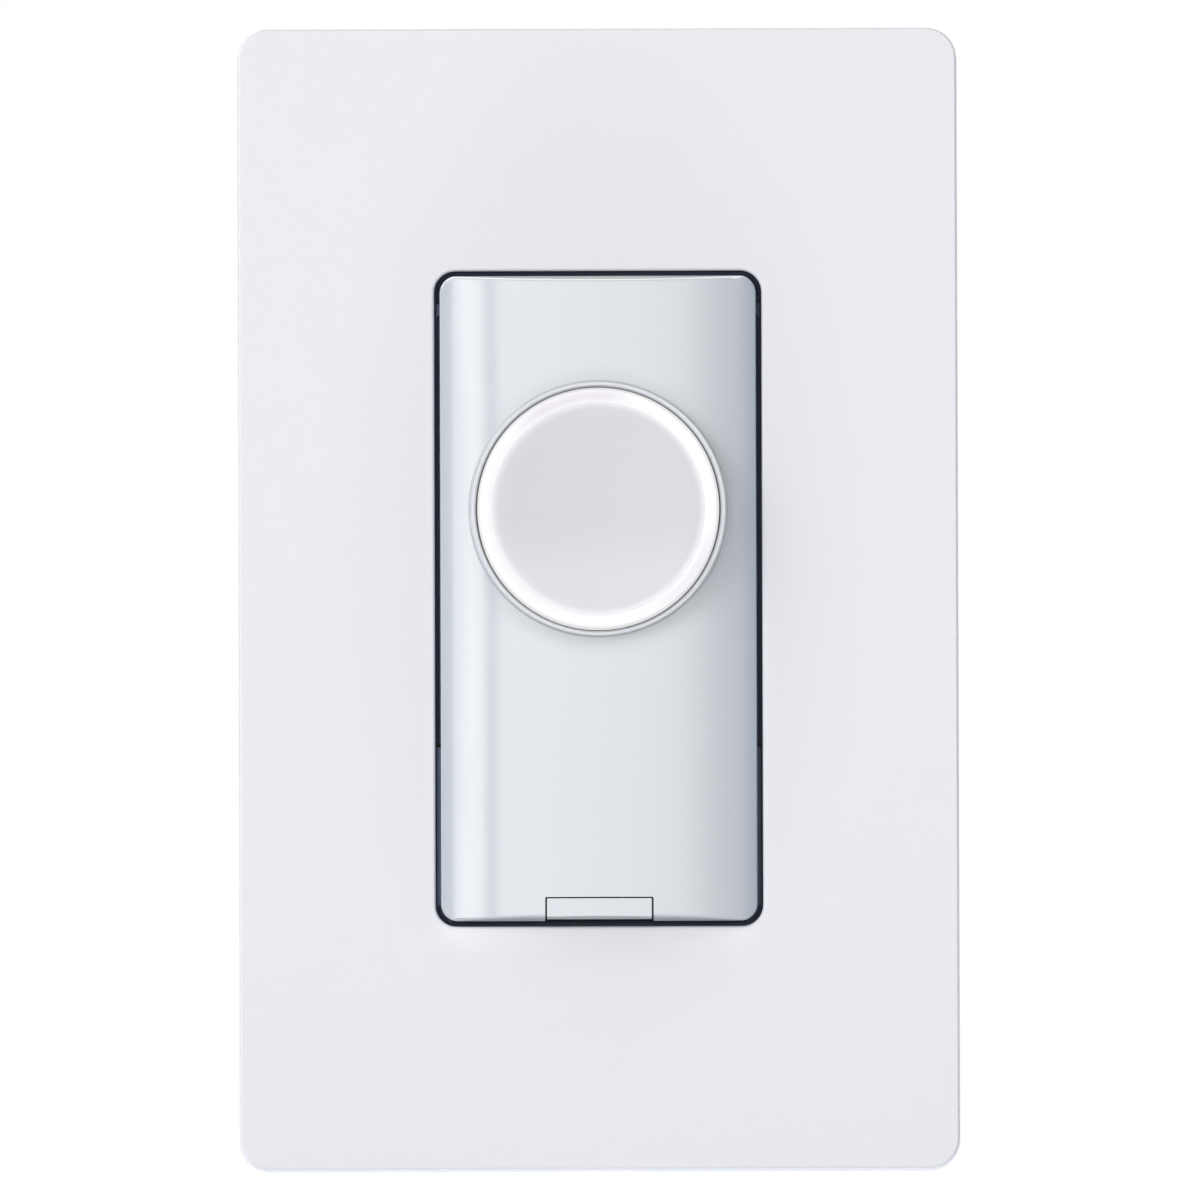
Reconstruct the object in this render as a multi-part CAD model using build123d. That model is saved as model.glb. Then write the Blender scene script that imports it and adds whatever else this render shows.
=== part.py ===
from build123d import *
import math
import os

# Smart light switch: a crowned insert with a lit push button and a pull-out service tab,
# a steel yoke, a rear body with side terminals, and a screwless cover that clips onto a sub plate.
# Every piece is drawn lying down: x runs across, y up the wall and z out of the wall, with z = 0
# on the wall. stand_up() turns it so that the front looks along -Y and the top along +Z.

# Cover plate
plate_width = 73.4
plate_screw_border = 9.79
plate_corner = 3.2
plate_draft = 1.5
plate_skin = 1.7
plate_wall = 1.6
plate_edge_round = 0.25
opening_width = 33.3
opening_height = 66.7
opening_corner = 2.15
opening_edge_round = 0.3
collar_wall = 1.0
collar_gap = 0.2
rib_wall = 1.0
rib_height = 0.8
pry_slot_width = 9.0
pry_slot_depth = 1.2
catch_length = 8.0
catch_depth = 0.7
catch_height = 1.0
catch_gap = 0.1
end_catch_x = 20.0
side_catch_y = 34.0

# Sub plate that the cover clips onto
cover_clearance = 0.3
sub_boss_height = 0.8
sub_skin = 1.6
sub_rim_wall = 1.2
sub_rim_back = 0.4
sub_rim_corner = 0.3
sub_opening_gap = 0.2
sub_ledge_gap = 0.15
sub_boss_radius = 4.6
sub_notch_gap = 0.5
head_relief_gap = 0.2

# Yoke
yoke_sheet = 1.3
yoke_end_margin = 3.64
yoke_ear_width = 33.0
yoke_ear_height = 8.0
yoke_neck_width = 22.0
yoke_body_margin = 0.5
yoke_shoulder = 3.0
yoke_round = 1.0
window_side_gap = 0.22
window_screw_gap = 3.6
box_screw_spacing = 83.34
screw_pair_spacing = 6.74
box_slot_width = 6.0
box_slot_height = 4.2
ear_score_radius = 0.9
ear_score_gap = 1.2
ground_tab_width = 8.0
ground_tab_inset = 1.25
ground_tab_height = 9.0
ground_screw_z = -4.9

# Screws
machine_radius = 1.75
machine_neck_radius = 1.4
machine_head_radius = 3.3
machine_head_height = 2.2
box_screw_length = 22.0
thread_clearance = 0.05
hole_clearance = 0.15
driver_slot = 0.9
driver_depth = 0.9
cross_reach_share = 0.56
cross_width_share = 0.26
head_rim_rise = 0.6
head_shoulder_rise = 0.9
head_shoulder_share = 0.8
head_flat_share = 0.5
retainer_sheet = 0.4
retainer_width = 9.0
retainer_height = 5.6
cover_screw_length = 4.0
cover_head_radius = 2.7
housing_screw_radius = 1.3
housing_head_radius = 2.5
housing_head_height = 1.6
housing_screw_inset = 3.3
housing_screw_bite = 3.7
screw_hole_spare = 0.3
board_screw_radius = 0.8
board_head_radius = 1.5
board_head_height = 1.1

# Insert
insert_side_gap = 0.57
insert_end_gap = 0.53
insert_corner = 1.73
insert_proud = 0.3
insert_crown = 2.2
insert_end_inset = 0.46
insert_wall = 1.8
insert_edge_round = 0.25
insert_boss_radius = 2.6
pillar_radius = 1.9
base_flange_reach = 0.6
base_flange_gap = 0.1
side_ledge_depth = 0.3
side_ledge_height = 18.1
side_rib_inset = 3.3
side_rib_length = 1.2

# Button
button_inset = 23.8
button_bore_radius = 12.45
button_running_gap = 0.15
button_travel = 0.8
button_stop_gap = 0.3
lip_rise = 0.35
lip_wall = 0.6
lip_round = 0.15
lip_flare = 0.3
lip_depth = 3.4
light_ring_width = 1.4
light_ring_proud = 0.55
cap_gap = 0.05
cap_inset = 0.3
cap_skin = 1.7
cap_dish = 0.3
ring_ledge = 0.6
ring_round = 0.35
cap_boss_radius = 2.6
cap_boss_height = 1.3
leg_count = 3
leg_radius = 8.0
leg_width = 2.4
leg_wall = 1.2
hook_length = 0.65
hook_height = 0.85
hook_gap = 0.1
stem_radius = 1.75
stem_gap = 0.1
spring_radius = 5.1
spring_wire = 0.6
spring_turns = 3
spring_end_gap = 0.02

# Inner frame, light guide and front board
guide_height = 1.3
guide_width = 1.8
guide_gap = 0.25
led_count = 12
led_size = 1.6
led_height = 0.8
led_gap = 0.1
foot_radius = 0.9
foot_clearance = 0.1
carrier_sheet = 1.2
carrier_height = 30.0
carrier_gap = 0.28
carrier_boss_inset = 2.1
spring_seat_depth = 0.6
spring_seat_gap = 0.2
led_space = 1.0
board_sheet = 1.6
board_gap = 0.5
tact_size = 6.2
tact_height = 3.0
tact_floor = 0.6
radio_width = 16.0
radio_height = 12.0
radio_gap = 1.0
radio_sheet = 0.8
radio_pad_radius = 0.4
radio_pad_count = 7
shield_height = 1.8
shield_inset = 1.2
shield_wall = 0.2
chip_height = 1.0
chip_size = 7.0

# Service tab
tab_width = 10.65
tab_height = 2.1
tab_gap = 0.15
tab_set_up = 0.15
tab_block_back = 3.4
tab_travel = 3.2
tab_groove = 0.35
stem_width = 4.4
stem_thickness = 1.6
stem_tip = -9.4
barb_length = 1.0
barb_height = 1.6
barb_clearance = 0.2
notch_wall = 1.2
bridge_width = 12.0
bridge_sheet = 0.8
bridge_peg = 0.7
blade_gap = 0.05
blade_width = 3.0
blade_sheet = 0.6

# Rear body
rear_width = 42.5
rear_depth = 31.0
rear_wall = 2.0
rear_corner = 3.0
rear_draft = 0.6
rear_chamfer = 1.2
column_radius = 3.2
column_edge = 1.7
head_well_depth = 2.2
head_well_gap = 0.4
pocket_depth = 5.5
pocket_length = 13.0
pocket_height = 14.0
pocket_wall = 1.5
block_wall = 2.0
terminal_y = 13.0
terminal_z = -15.0
terminal_sheet = 0.9
wire_gap = 1.25
pressure_sheet = 1.2
pressure_length = 10.0
pressure_height = 9.0
terminal_head_radius = 3.7
terminal_head_height = 2.1
terminal_head_chamfer = 0.35
terminal_tongue = 4.0
tongue_clearance = 0.1
wire_hole_radius = 1.25
wire_hole_offset = 3.4
barrier_sheet = 0.4
barrier_z = -3.9
barrier_gap = 0.3
barrier_rest_width = 2.0
barrier_rest_depth = 1.2
power_rest_width = 2.0
board_rest_inset = 10.5
gauge_length = 16.0
gauge_width = 2.4
gauge_depth = 0.4

# Rear board and what it carries
power_side_gap = 0.25
power_gap = 0.5
power_standoff = 2.0
row_gap = 0.9
fuse_inset = 8.5
fuse_radius = 2.4
fuse_cap_wall = 0.24
fuse_length = 16.0
varistor_x = -7.0
varistor_radius = 5.0
varistor_thickness = 4.0
inductor_x = 7.0
inductor_radius = 4.4
inductor_height = 9.0
core_width = 18.0
core_height = 14.0
core_thickness = 6.0
core_leg = 2.2
core_middle = 5.0
bobbin_gap = 0.15
bobbin_overhang = 2.4
bobbin_flange = 1.0
winding_inset = 0.4
film_width = 15.0
film_thickness = 5.0
film_height = 10.5
bulk_x = 6.2
bulk_radius = 4.0
bulk_height = 16.0
bulk_groove = 0.5
header_inset = 2.9
header_count = 6
header_spacing = 2.54
header_width = 2.5
header_height = 8.5
pin_side = 0.64
spreader_gap = 1.58
spreader_sheet = 1.5
spreader_foot = 5.0
triac_width = 10.0
triac_thickness = 4.4
triac_height = 12.0
triac_lift = 4.0
lead_width = 0.8
lead_sheet = 0.5

# Places that follow from the sizes above
sub_back = yoke_sheet + sub_boss_height
sub_front = sub_back + sub_skin
skin_back = sub_front + rib_height
plate_depth = skin_back + plate_skin
cover_screw_spacing = box_screw_spacing + 2 * screw_pair_spacing
plate_height = cover_screw_spacing + 2 * plate_screw_border
yoke_height = cover_screw_spacing + 2 * yoke_end_margin
ground_tab_x = ground_tab_inset + ground_tab_width / 2 - rear_width / 2
insert_width = opening_width - 2 * insert_side_gap
insert_height = opening_height - 2 * insert_end_gap
face_side = plate_depth + insert_proud
face_top = face_side + insert_crown
face_radius = ((insert_width / 2) ** 2 + insert_crown ** 2) / (2 * insert_crown)
lip_top = face_top + lip_rise
ring_top = lip_top + light_ring_proud
cap_edge = ring_top - cap_inset
cap_under = cap_edge - cap_skin
ring_under = cap_under - ring_ledge
guide_top = ring_under - button_travel - button_stop_gap
carrier_front = guide_top - guide_height
carrier_back = carrier_front - carrier_sheet
board_front = carrier_back - led_space
board_back = board_front - board_sheet
button_y = insert_height / 2 - button_inset
ring_radius = button_bore_radius - button_running_gap
ring_inner = ring_radius - light_ring_width
cap_radius = ring_inner - cap_gap
guide_outer = button_bore_radius - guide_gap
guide_inner = guide_outer - guide_width
guide_middle = (guide_outer + guide_inner) / 2
stem_top = cap_under - cap_boss_height
tact_top = board_front + tact_height
cavity_width = insert_width - 2 * insert_wall
carrier_width = cavity_width - 2 * carrier_gap
boss_x = carrier_width / 2 - carrier_boss_inset
boss_y = carrier_height / 2 - carrier_boss_inset
housing_screw_x = insert_width / 2 - housing_screw_inset
housing_screw_y = insert_height / 2 - housing_screw_inset
window_width = cavity_width + 2 * window_side_gap
window_height = 2 * (housing_screw_y - window_screw_gap)
board_width = window_width - 2 * board_gap
board_height = window_height - 2 * board_gap
radio_y = button_y - carrier_height / 2 - radio_gap - radio_height / 2
tab_bottom = -insert_height / 2 + tab_set_up
tab_top = tab_bottom + tab_height
tab_middle = (tab_bottom + tab_top) / 2
rear_height = 2 * (housing_screw_y + column_radius + column_edge)
yoke_body_height = rear_height + 2 * yoke_body_margin
board_rest_y = rear_height / 2 - board_rest_inset
power_back = rear_wall + power_standoff - rear_depth
power_front = power_back + board_sheet
pocket_floor = rear_width / 2 - pocket_depth
block_inner = pocket_floor - block_wall
pocket_bottom = terminal_z - pocket_height / 2
pocket_top = terminal_z + pocket_height / 2
clamp_inner = pocket_floor + terminal_sheet + wire_gap
clamp_outer = clamp_inner + pressure_sheet
power_width = 2 * (block_inner - power_side_gap)
bobbin_side = core_thickness / 2 + bobbin_overhang
fuse_cap_radius = fuse_radius + fuse_cap_wall
fuse_y = fuse_inset - rear_height / 2
varistor_y = fuse_y + fuse_cap_radius + row_gap + inductor_radius
core_y = varistor_y + inductor_radius + row_gap + bobbin_side
film_y = core_y + bobbin_side + row_gap + film_thickness / 2
bulk_y = film_y + film_thickness / 2 + row_gap + bulk_radius
header_y = board_height / 2 - header_inset
spreader_width = 2 * (housing_screw_x - column_radius - spreader_gap)
column_places = [(x * housing_screw_x, y * housing_screw_y) for x in (-1, 1) for y in (-1, 1)]
boss_places = [(x * boss_x, button_y + y * boss_y) for x in (-1, 1) for y in (-1, 1)]
terminal_places = [(x, y * terminal_y) for x in (-1, 1) for y in (-1, 1)]
leg_angles = [90 + turn * 360 / leg_count for turn in range(leg_count)]
led_angles = [(turn + 0.5) * 360 / led_count for turn in range(led_count)]


def block(x0, x1, y0, y1, z0, z1):
    """A box between two corners."""
    middle = Pos((x0 + x1) / 2, (y0 + y1) / 2, (z0 + z1) / 2)
    return middle * Box(abs(x1 - x0), abs(y1 - y0), abs(z1 - z0))


def rod(x, y, z0, z1, radius):
    """A round bar along z."""
    return Pos(x, y, (z0 + z1) / 2) * Cylinder(radius, abs(z1 - z0))


def slab(outline, z0, z1, taper=0.0):
    """An outline drawn flat, lifted to z0 and extruded to z1."""
    return Pos(0, 0, z0) * extrude(outline, z1 - z0, taper=taper)


def turned(points, x=0.0, y=0.0):
    """A closed (radius, z) outline spun about an axis along z."""
    outline = make_face(Plane.XZ * Polyline(*points, close=True))
    return Pos(x, y, 0) * revolve(outline, Axis.Z)


def along_x(outline, x0, x1):
    """An outline of (y, z) points extruded from x0 to x1."""
    return Pos(x0, 0, 0) * extrude(Plane.YZ * outline, x1 - x0)


def along_y(outline, y0, y1):
    """An outline of (x, z) points extruded from y0 to y1."""
    return Pos(0, y1, 0) * extrude(Plane.XZ * outline, y1 - y0)


def shape(*points):
    """A flat face through the points."""
    return make_face(Polyline(*points, close=True))


def polar(angle, radius, height=0.0):
    """A place on a circle round the button's axis, turned to face outwards."""
    return Pos(0, button_y, height) * Rot(0, 0, angle) * Pos(radius, 0, 0)


def group(shapes):
    """Separate solids that share one node."""
    return Compound([solid for item in shapes for solid in item.solids()])


def stand_up(item):
    """From lying on its back to upright, with the front towards -Y."""
    return Rot(90, 0, 0) * item


def face_at(x):
    """Height of the insert's crowned front at x."""
    return face_top - face_radius + math.sqrt(face_radius ** 2 - x ** 2)


def draft_at(z):
    """How far the cover's sides have drawn in at height z."""
    return z * math.tan(math.radians(plate_draft))


def wall_plate():
    """The cover: drafted dish, rounded front edge, collar round the opening, ribs and catches."""
    outer = slab(RectangleRounded(plate_width, plate_height, plate_corner), 0, plate_depth, plate_draft)
    outer = fillet(outer.faces().sort_by(Axis.Z)[-1].edges(), plate_edge_round)
    inner_width = plate_width - 2 * plate_wall
    inner_height = plate_height - 2 * plate_wall
    inner = RectangleRounded(inner_width, inner_height, plate_corner - plate_wall)
    cover = outer - slab(inner, 0, skin_back, plate_draft)
    collar = RectangleRounded(
        opening_width + 2 * collar_wall, opening_height + 2 * collar_wall, opening_corner + collar_wall
    )
    cover += slab(collar, sub_front + collar_gap, skin_back)
    half_width = inner_width / 2 - draft_at(skin_back)
    half_height = inner_height / 2 - draft_at(skin_back)
    middle_x = (half_width + opening_width / 2) / 2
    middle_y = (half_height + opening_height / 2) / 2
    for side in (-1, 1):
        cover += slab(Pos(side * middle_x, 0) * Rectangle(rib_wall, 2 * half_height), sub_front, skin_back)
        cover += slab(Pos(0, side * middle_y) * Rectangle(2 * half_width, rib_wall), sub_front, skin_back)
    cover += catches(inner_width / 2, inner_height / 2)
    opening = RectangleRounded(opening_width, opening_height, opening_corner)
    cover -= slab(opening, 0, plate_depth)
    end = -plate_height / 2
    cover -= block(-pry_slot_width / 2, pry_slot_width / 2, end, end + 2 * plate_wall, 0, pry_slot_depth)
    rim = cover.faces().sort_by(Axis.Z)[-1].inner_wires()[0].edges()
    return fillet(rim, opening_edge_round)


def catches(half_width, half_height):
    """Wedge ridges on the cover's inner walls that click behind the sub plate's edge."""
    top = sub_back - catch_gap
    reach = catch_depth
    side = draft_at(top)
    ridge = shape((1, top), (-reach - side, top), (-reach - side, top - catch_height / 2),
                  (-side, top - catch_height), (1, top - catch_height))
    made = []
    for x in (-end_catch_x, end_catch_x):
        for turn in (0, 180):
            bar = along_x(ridge, -catch_length / 2, catch_length / 2)
            made.append(Rot(0, 0, turn) * Pos(x, half_height, 0) * bar)
    for y in (-side_catch_y, side_catch_y):
        for turn in (-90, 90):
            bar = along_x(ridge, -catch_length / 2, catch_length / 2)
            made.append(Rot(0, 0, turn) * Pos(y, half_width, 0) * bar)
    return made


def sub_plate():
    """The plate under the cover, screwed to the yoke, with a rim that is notched for the catches."""
    taper = draft_at(sub_front)
    width = plate_width - 2 * (plate_wall + cover_clearance + taper)
    height = plate_height - 2 * (plate_wall + cover_clearance + taper)
    corner = plate_corner - plate_wall - cover_clearance
    plate = slab(RectangleRounded(width, height, corner), sub_rim_back, sub_front)
    hollow = RectangleRounded(width - 2 * sub_rim_wall, height - 2 * sub_rim_wall, sub_rim_corner)
    plate -= slab(hollow, sub_rim_back, sub_back)
    way_width = insert_width + 2 * sub_opening_gap
    way_height = insert_height + 2 * sub_opening_gap
    way = RectangleRounded(way_width, way_height, insert_corner + sub_opening_gap)
    plate -= slab(way, sub_back, sub_front)
    for ledge in side_ledges(sub_ledge_gap):
        plate -= ledge
    notch = catch_length + 2 * sub_notch_gap
    for x in (-end_catch_x, end_catch_x):
        plate -= block(x - notch / 2, x + notch / 2, -height, height, sub_rim_back, sub_back)
    for y in (-side_catch_y, side_catch_y):
        plate -= block(-width, width, y - notch / 2, y + notch / 2, sub_rim_back, sub_back)
    for side in (-1, 1):
        screw_y = side * cover_screw_spacing / 2
        plate += rod(0, screw_y, yoke_sheet, sub_back, sub_boss_radius)
        plate -= cover_screw(screw_y, thread_clearance, plate_depth)
        relief = machine_head_radius + head_relief_gap
        plate -= rod(0, side * box_screw_spacing / 2, yoke_sheet, sub_front, relief)
    return plate


def cover_screw(y, grow=0.0, top=None):
    """A countersunk screw, or with grow and top the hole that it needs."""
    shank = machine_radius - thread_clearance + grow
    head = cover_head_radius + grow
    sink = cover_head_radius - machine_radius
    end = -cover_screw_length
    tip = [(0, end), (shank, end)]
    if top is None:
        crest = [(head, sub_front), (0, sub_front)]
    else:
        crest = [(head, sub_front), (head, top), (0, top)]
    return turned(tip + [(shank, sub_front - sink)] + crest, 0, y)


def driver_cut(y, top, radius):
    """The slot that a flat driver turns."""
    return block(-radius, radius, y - driver_slot / 2, y + driver_slot / 2, top - driver_depth, top)


def cross_cut(x, y, top, depth, head_radius):
    """The cross-shaped pocket in a screw's head, sunk from top by depth, which is signed."""
    reach = head_radius * cross_reach_share
    half = head_radius * cross_width_share / 2
    z0, z1 = sorted((top, top - depth))
    return block(x - reach, x + reach, y - half, y + half, z0, z1) + block(
        x - half, x + half, y - reach, y + reach, z0, z1)


def pan_head(radius, seat, top):
    """The (radius, z) outline of a pan head from its rim at the seat to the middle of its top."""
    rise = top - seat
    return [
        (radius, seat), (radius, seat + rise * head_rim_rise),
        (radius * head_shoulder_share, seat + rise * head_shoulder_rise),
        (radius * head_flat_share, top), (0, top),
    ]


def rear_driven(x, y, seat, end, radius, head_radius, head_height):
    """A pan-headed screw along z, driven from the back, with its thread running up to end."""
    top = seat - head_height
    screw = turned([(0, end), (radius, end), (radius, seat)] + pan_head(head_radius, seat, top), x, y)
    return screw - cross_cut(x, y, top, -head_height / 2, head_radius)


def sub_plate_screws():
    """Two flat-headed screws that hold the sub plate to the yoke."""
    screws = []
    for side in (-1, 1):
        y = side * cover_screw_spacing / 2
        screw = cover_screw(y) - driver_cut(y, sub_front, cover_head_radius)
        screws.append(screw - cross_cut(0, y, sub_front, driver_depth, cover_head_radius))
    return group(screws)


def mounting_yoke():
    """The folded strap: ears, box slots, tapped holes, window and the bent ground tab."""
    half = rear_width / 2
    body = yoke_body_height / 2
    neck = yoke_neck_width / 2
    ear = yoke_ear_width / 2
    end = yoke_height / 2
    quarter = [
        (half, body), (neck + yoke_shoulder, body), (neck, body + yoke_shoulder), (neck, end - yoke_ear_height),
        (ear, end - yoke_ear_height), (ear, end),
    ]
    right = [(x, -y) for x, y in reversed(quarter)] + quarter
    left = [(-x, y) for x, y in reversed(right)]
    outline = fillet(shape(*right, *left).vertices(), yoke_round)
    outline -= RectangleRounded(window_width, window_height, yoke_round)
    for side in (-1, 1):
        outline -= Pos(0, side * box_screw_spacing / 2) * SlotOverall(box_slot_width, box_slot_height)
        outline -= Pos(0, side * cover_screw_spacing / 2) * Circle(machine_radius)
        for score in (-1, 1):
            place = Pos(score * (neck + ear_score_gap), side * (end - yoke_ear_height / 2))
            outline -= place * Circle(ear_score_radius)
    for x, y in column_places:
        outline -= Pos(x, y) * Circle(housing_screw_radius + hole_clearance)
    slot_width = stem_width + 4 * hole_clearance
    slot_height = stem_thickness + 4 * hole_clearance
    outline -= Pos(0, tab_middle) * Rectangle(slot_width, slot_height)
    yoke = slab(outline, 0, yoke_sheet)
    return yoke + ground_tab() - ground_hole()


def ground_tab():
    """The tab that is bent back from the yoke's lower edge."""
    edge = -yoke_body_height / 2
    outer = edge - yoke_sheet
    root = edge + yoke_sheet
    profile = shape((root, 0), (edge, 0), (edge, -ground_tab_height), (outer, -ground_tab_height),
                    (outer, yoke_sheet), (root, yoke_sheet))
    corner = profile.vertices().sort_by(Axis.Y)[-2:].sort_by(Axis.X)[0]
    x0 = ground_tab_x - ground_tab_width / 2
    return along_x(fillet(corner, yoke_sheet * 0.8), x0, x0 + ground_tab_width)


def ground_hole():
    """The tapped hole of the ground screw."""
    edge = -yoke_body_height / 2
    return crosswise(ground_tab_x, ground_screw_z, edge - 2 * yoke_sheet, edge + yoke_sheet, machine_radius)


def crosswise(x, z, y0, y1, radius):
    """A round bar along y."""
    return Pos(x, (y0 + y1) / 2, z) * Rot(90, 0, 0) * Cylinder(radius, y1 - y0)


def ground_screw():
    """The green earth screw in the yoke's bent tab."""
    face = -yoke_body_height / 2 - yoke_sheet
    top = face - machine_head_height
    head = crosswise(ground_tab_x, ground_screw_z, top, face, machine_head_radius)
    head = chamfer(head.faces().sort_by(Axis.Y)[0].edges(), machine_head_height / 5)
    shank_end = -yoke_body_height / 2 + hole_clearance
    shank = crosswise(ground_tab_x, ground_screw_z, face, shank_end, machine_radius - thread_clearance)
    slot = block(ground_tab_x - machine_head_radius, ground_tab_x + machine_head_radius,
                 top, top + driver_depth, ground_screw_z - driver_slot / 2, ground_screw_z + driver_slot / 2)
    return head + shank - slot


def box_screws():
    """Two pan-headed screws with a thin neck, so that they can't fall out of the yoke."""
    neck_end = -retainer_sheet - thread_clearance
    top = yoke_sheet + machine_head_height
    screws = []
    for side in (-1, 1):
        y = side * box_screw_spacing / 2
        screw = turned(
            [
                (0, -box_screw_length), (machine_radius * 0.7, -box_screw_length),
                (machine_radius, machine_radius * 0.5 - box_screw_length), (machine_radius, neck_end),
                (machine_neck_radius, neck_end), (machine_neck_radius, yoke_sheet),
            ] + pan_head(machine_head_radius, yoke_sheet, top),
            0, y,
        )
        screw -= driver_cut(y, top, machine_head_radius)
        screws.append(screw - cross_cut(0, y, top, driver_depth, machine_head_radius))
    return group(screws)


def screw_retainers():
    """Square card washers behind the yoke, one on each box screw's neck."""
    sheet = RectangleRounded(retainer_width, retainer_height, yoke_round)
    sheet -= Circle(machine_neck_radius + hole_clearance / 2)
    card = slab(sheet, -retainer_sheet, 0)
    return group([Pos(0, side * box_screw_spacing / 2, 0) * card for side in (-1, 1)])


def crowned_block(width, height, corner, inset, base):
    """A rounded rectangle under a front that is an arc across and leans in at both ends."""
    side = face_at(width / 2) - inset
    top = face_top - inset
    half = width / 2
    end = height / 2
    body = slab(RectangleRounded(width, height, corner), base, top)
    sides = Polyline((half, side), (half, base), (-half, base), (-half, side))
    arc = ThreePointArc((-half, side), (0, top), (half, side))
    body &= along_y(make_face(sides + arc), -height, height)
    lean = insert_end_inset
    ends = shape((-end, base), (end, base), (end, face_side - inset), (end - lean, top),
                 (lean - end, top), (-end, face_side - inset))
    return body & along_x(ends, -width, width)


def front_housing():
    """The insert: crowned shell, button collar, tab notch, screw bosses and pillars."""
    outer = crowned_block(insert_width, insert_height, insert_corner, 0, yoke_sheet)
    rim = outer.faces().sort_by(Axis.Z)[-1].outer_wire().edges()
    outer = fillet(rim, insert_edge_round)
    inner_height = insert_height - 2 * insert_wall
    cavity = crowned_block(cavity_width, inner_height, insert_edge_round, insert_wall, yoke_sheet)
    within = crowned_block(insert_width - insert_wall, insert_height - insert_wall, insert_wall / 2,
                           insert_wall / 2, yoke_sheet)
    inside = []
    for x, y in column_places:
        inside.append(rod(x, y, yoke_sheet, face_top, insert_boss_radius))
    for x, y in boss_places:
        inside.append(rod(x, y, carrier_front, face_top, pillar_radius))
    notch_half = tab_width / 2 + tab_gap
    notch_top = tab_top + tab_gap
    wall = notch_wall
    inside.append(block(-notch_half - wall, notch_half + wall, -insert_height / 2, notch_top + wall,
                        yoke_sheet, face_top))
    housing = outer - cavity
    for item in inside:
        housing += item & within
    bore = button_bore_radius
    base = lip_top - lip_depth
    collar = turned(
        [
            (ring_inner, base), (bore + lip_wall + lip_flare, base), (bore + lip_wall, lip_top - lip_round),
            (bore + lip_wall - lip_round, lip_top), (ring_inner, lip_top),
        ],
        0, button_y,
    )
    housing += collar
    throat = turned(
        [
            (0, carrier_front), (bore, carrier_front), (bore, lip_top - lip_round), (bore + lip_round, lip_top),
            (0, lip_top),
        ],
        0, button_y,
    )
    housing -= throat
    housing -= block(-notch_half, notch_half, -insert_height, notch_top, yoke_sheet, lip_top)
    for x, y in column_places:
        top = yoke_sheet + housing_screw_bite + screw_hole_spare
        housing -= rod(x, y, yoke_sheet, top, housing_screw_radius + thread_clearance)
    for x, y in boss_places:
        housing -= rod(x, y, carrier_front, pilot_top(), board_screw_radius + thread_clearance)
    return housing + side_ledges() + base_flange()


def pilot_top():
    """Where the small pillars' holes end, half a wall below the crowned front."""
    return face_at(boss_x) - insert_wall * 0.7


def base_flange():
    """The insert's foot on the yoke, wider than the sub plate's opening and bridged under the tab."""
    reach = 2 * base_flange_reach
    foot = RectangleRounded(insert_width + reach, insert_height + reach, insert_corner + base_flange_reach)
    foot -= RectangleRounded(insert_width - insert_wall, insert_height - insert_wall, insert_wall / 2)
    front = sub_back - base_flange_gap
    notch_half = tab_width / 2 + tab_gap
    return slab(foot, yoke_sheet, front) - block(-notch_half, notch_half, -insert_height / 2, 0,
                                                 yoke_sheet, front)


def side_ledges(grow=0.0):
    """Low ledges and locating ribs on the insert's flanks, or with grow the notches round them."""
    made = []
    end = -insert_height / 2 + insert_corner
    for side in (-1, 1):
        flank = side * (insert_width - insert_wall) / 2
        x0, x1 = sorted((flank, side * (insert_width / 2 + side_ledge_depth + grow)))
        top = side_ledge_height - insert_height / 2
        made.append(block(x0, x1, end - grow, top + grow, yoke_sheet, sub_front))
        rib = insert_height / 2 - side_rib_inset
        half = side_rib_length / 2 + grow
        made.append(block(x0, x1, rib - half, rib + half, yoke_sheet, sub_front))
    return made


def button_cap():
    """The dished touch face with its centre boss and three hooked guide legs."""
    rim = shape((0, cap_under), (cap_radius, cap_under), (cap_radius, cap_edge),
                (cap_radius * 0.93, cap_edge), (0, cap_edge))
    disc = Pos(0, button_y, 0) * revolve(Plane.XZ * rim, Axis.Z)
    dish_radius = cap_radius * 0.9
    ball_radius = (dish_radius ** 2 + cap_dish ** 2) / (2 * cap_dish)
    hollow = Pos(0, button_y, cap_edge - cap_dish + ball_radius) * Sphere(ball_radius)
    cap = disc - hollow
    cap += rod(0, button_y, stem_top, cap_under, cap_boss_radius)
    hook_top = carrier_back - hook_gap
    hook_bottom = hook_top - hook_height
    inner = leg_radius - leg_wall / 2
    outer = leg_radius + leg_wall / 2
    profile = shape((inner, cap_under), (inner, hook_bottom), (outer, hook_bottom),
                    (outer + hook_length, hook_bottom + hook_height / 2), (outer + hook_length, hook_top),
                    (outer, hook_top), (outer, cap_under))
    leg = along_y(profile, -leg_width / 2, leg_width / 2)
    for angle in leg_angles:
        cap += polar(angle, 0) * leg
    return cap


def light_ring():
    """The diffusing ring round the cap, domed on top, with a ledge under the cap's edge."""
    crest = (ring_radius + ring_inner) / 2
    shoulder = ring_top - ring_round
    sides = Polyline(
        (ring_inner, shoulder), (ring_inner, cap_under), (ring_inner - ring_ledge, cap_under),
        (ring_inner - ring_ledge, ring_under), (ring_radius, ring_under), (ring_radius, shoulder),
    )
    dome = ThreePointArc((ring_radius, shoulder), (crest, ring_top), (ring_inner, shoulder))
    outline = make_face(Plane.XZ * (sides + dome))
    return Pos(0, button_y, 0) * revolve(outline, Axis.Z)


def switch_stem():
    """The plunger from the cap's boss into the push switch."""
    foot = board_front + tact_floor + button_travel + stem_gap
    return rod(0, button_y, foot, stem_top, stem_radius)


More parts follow.
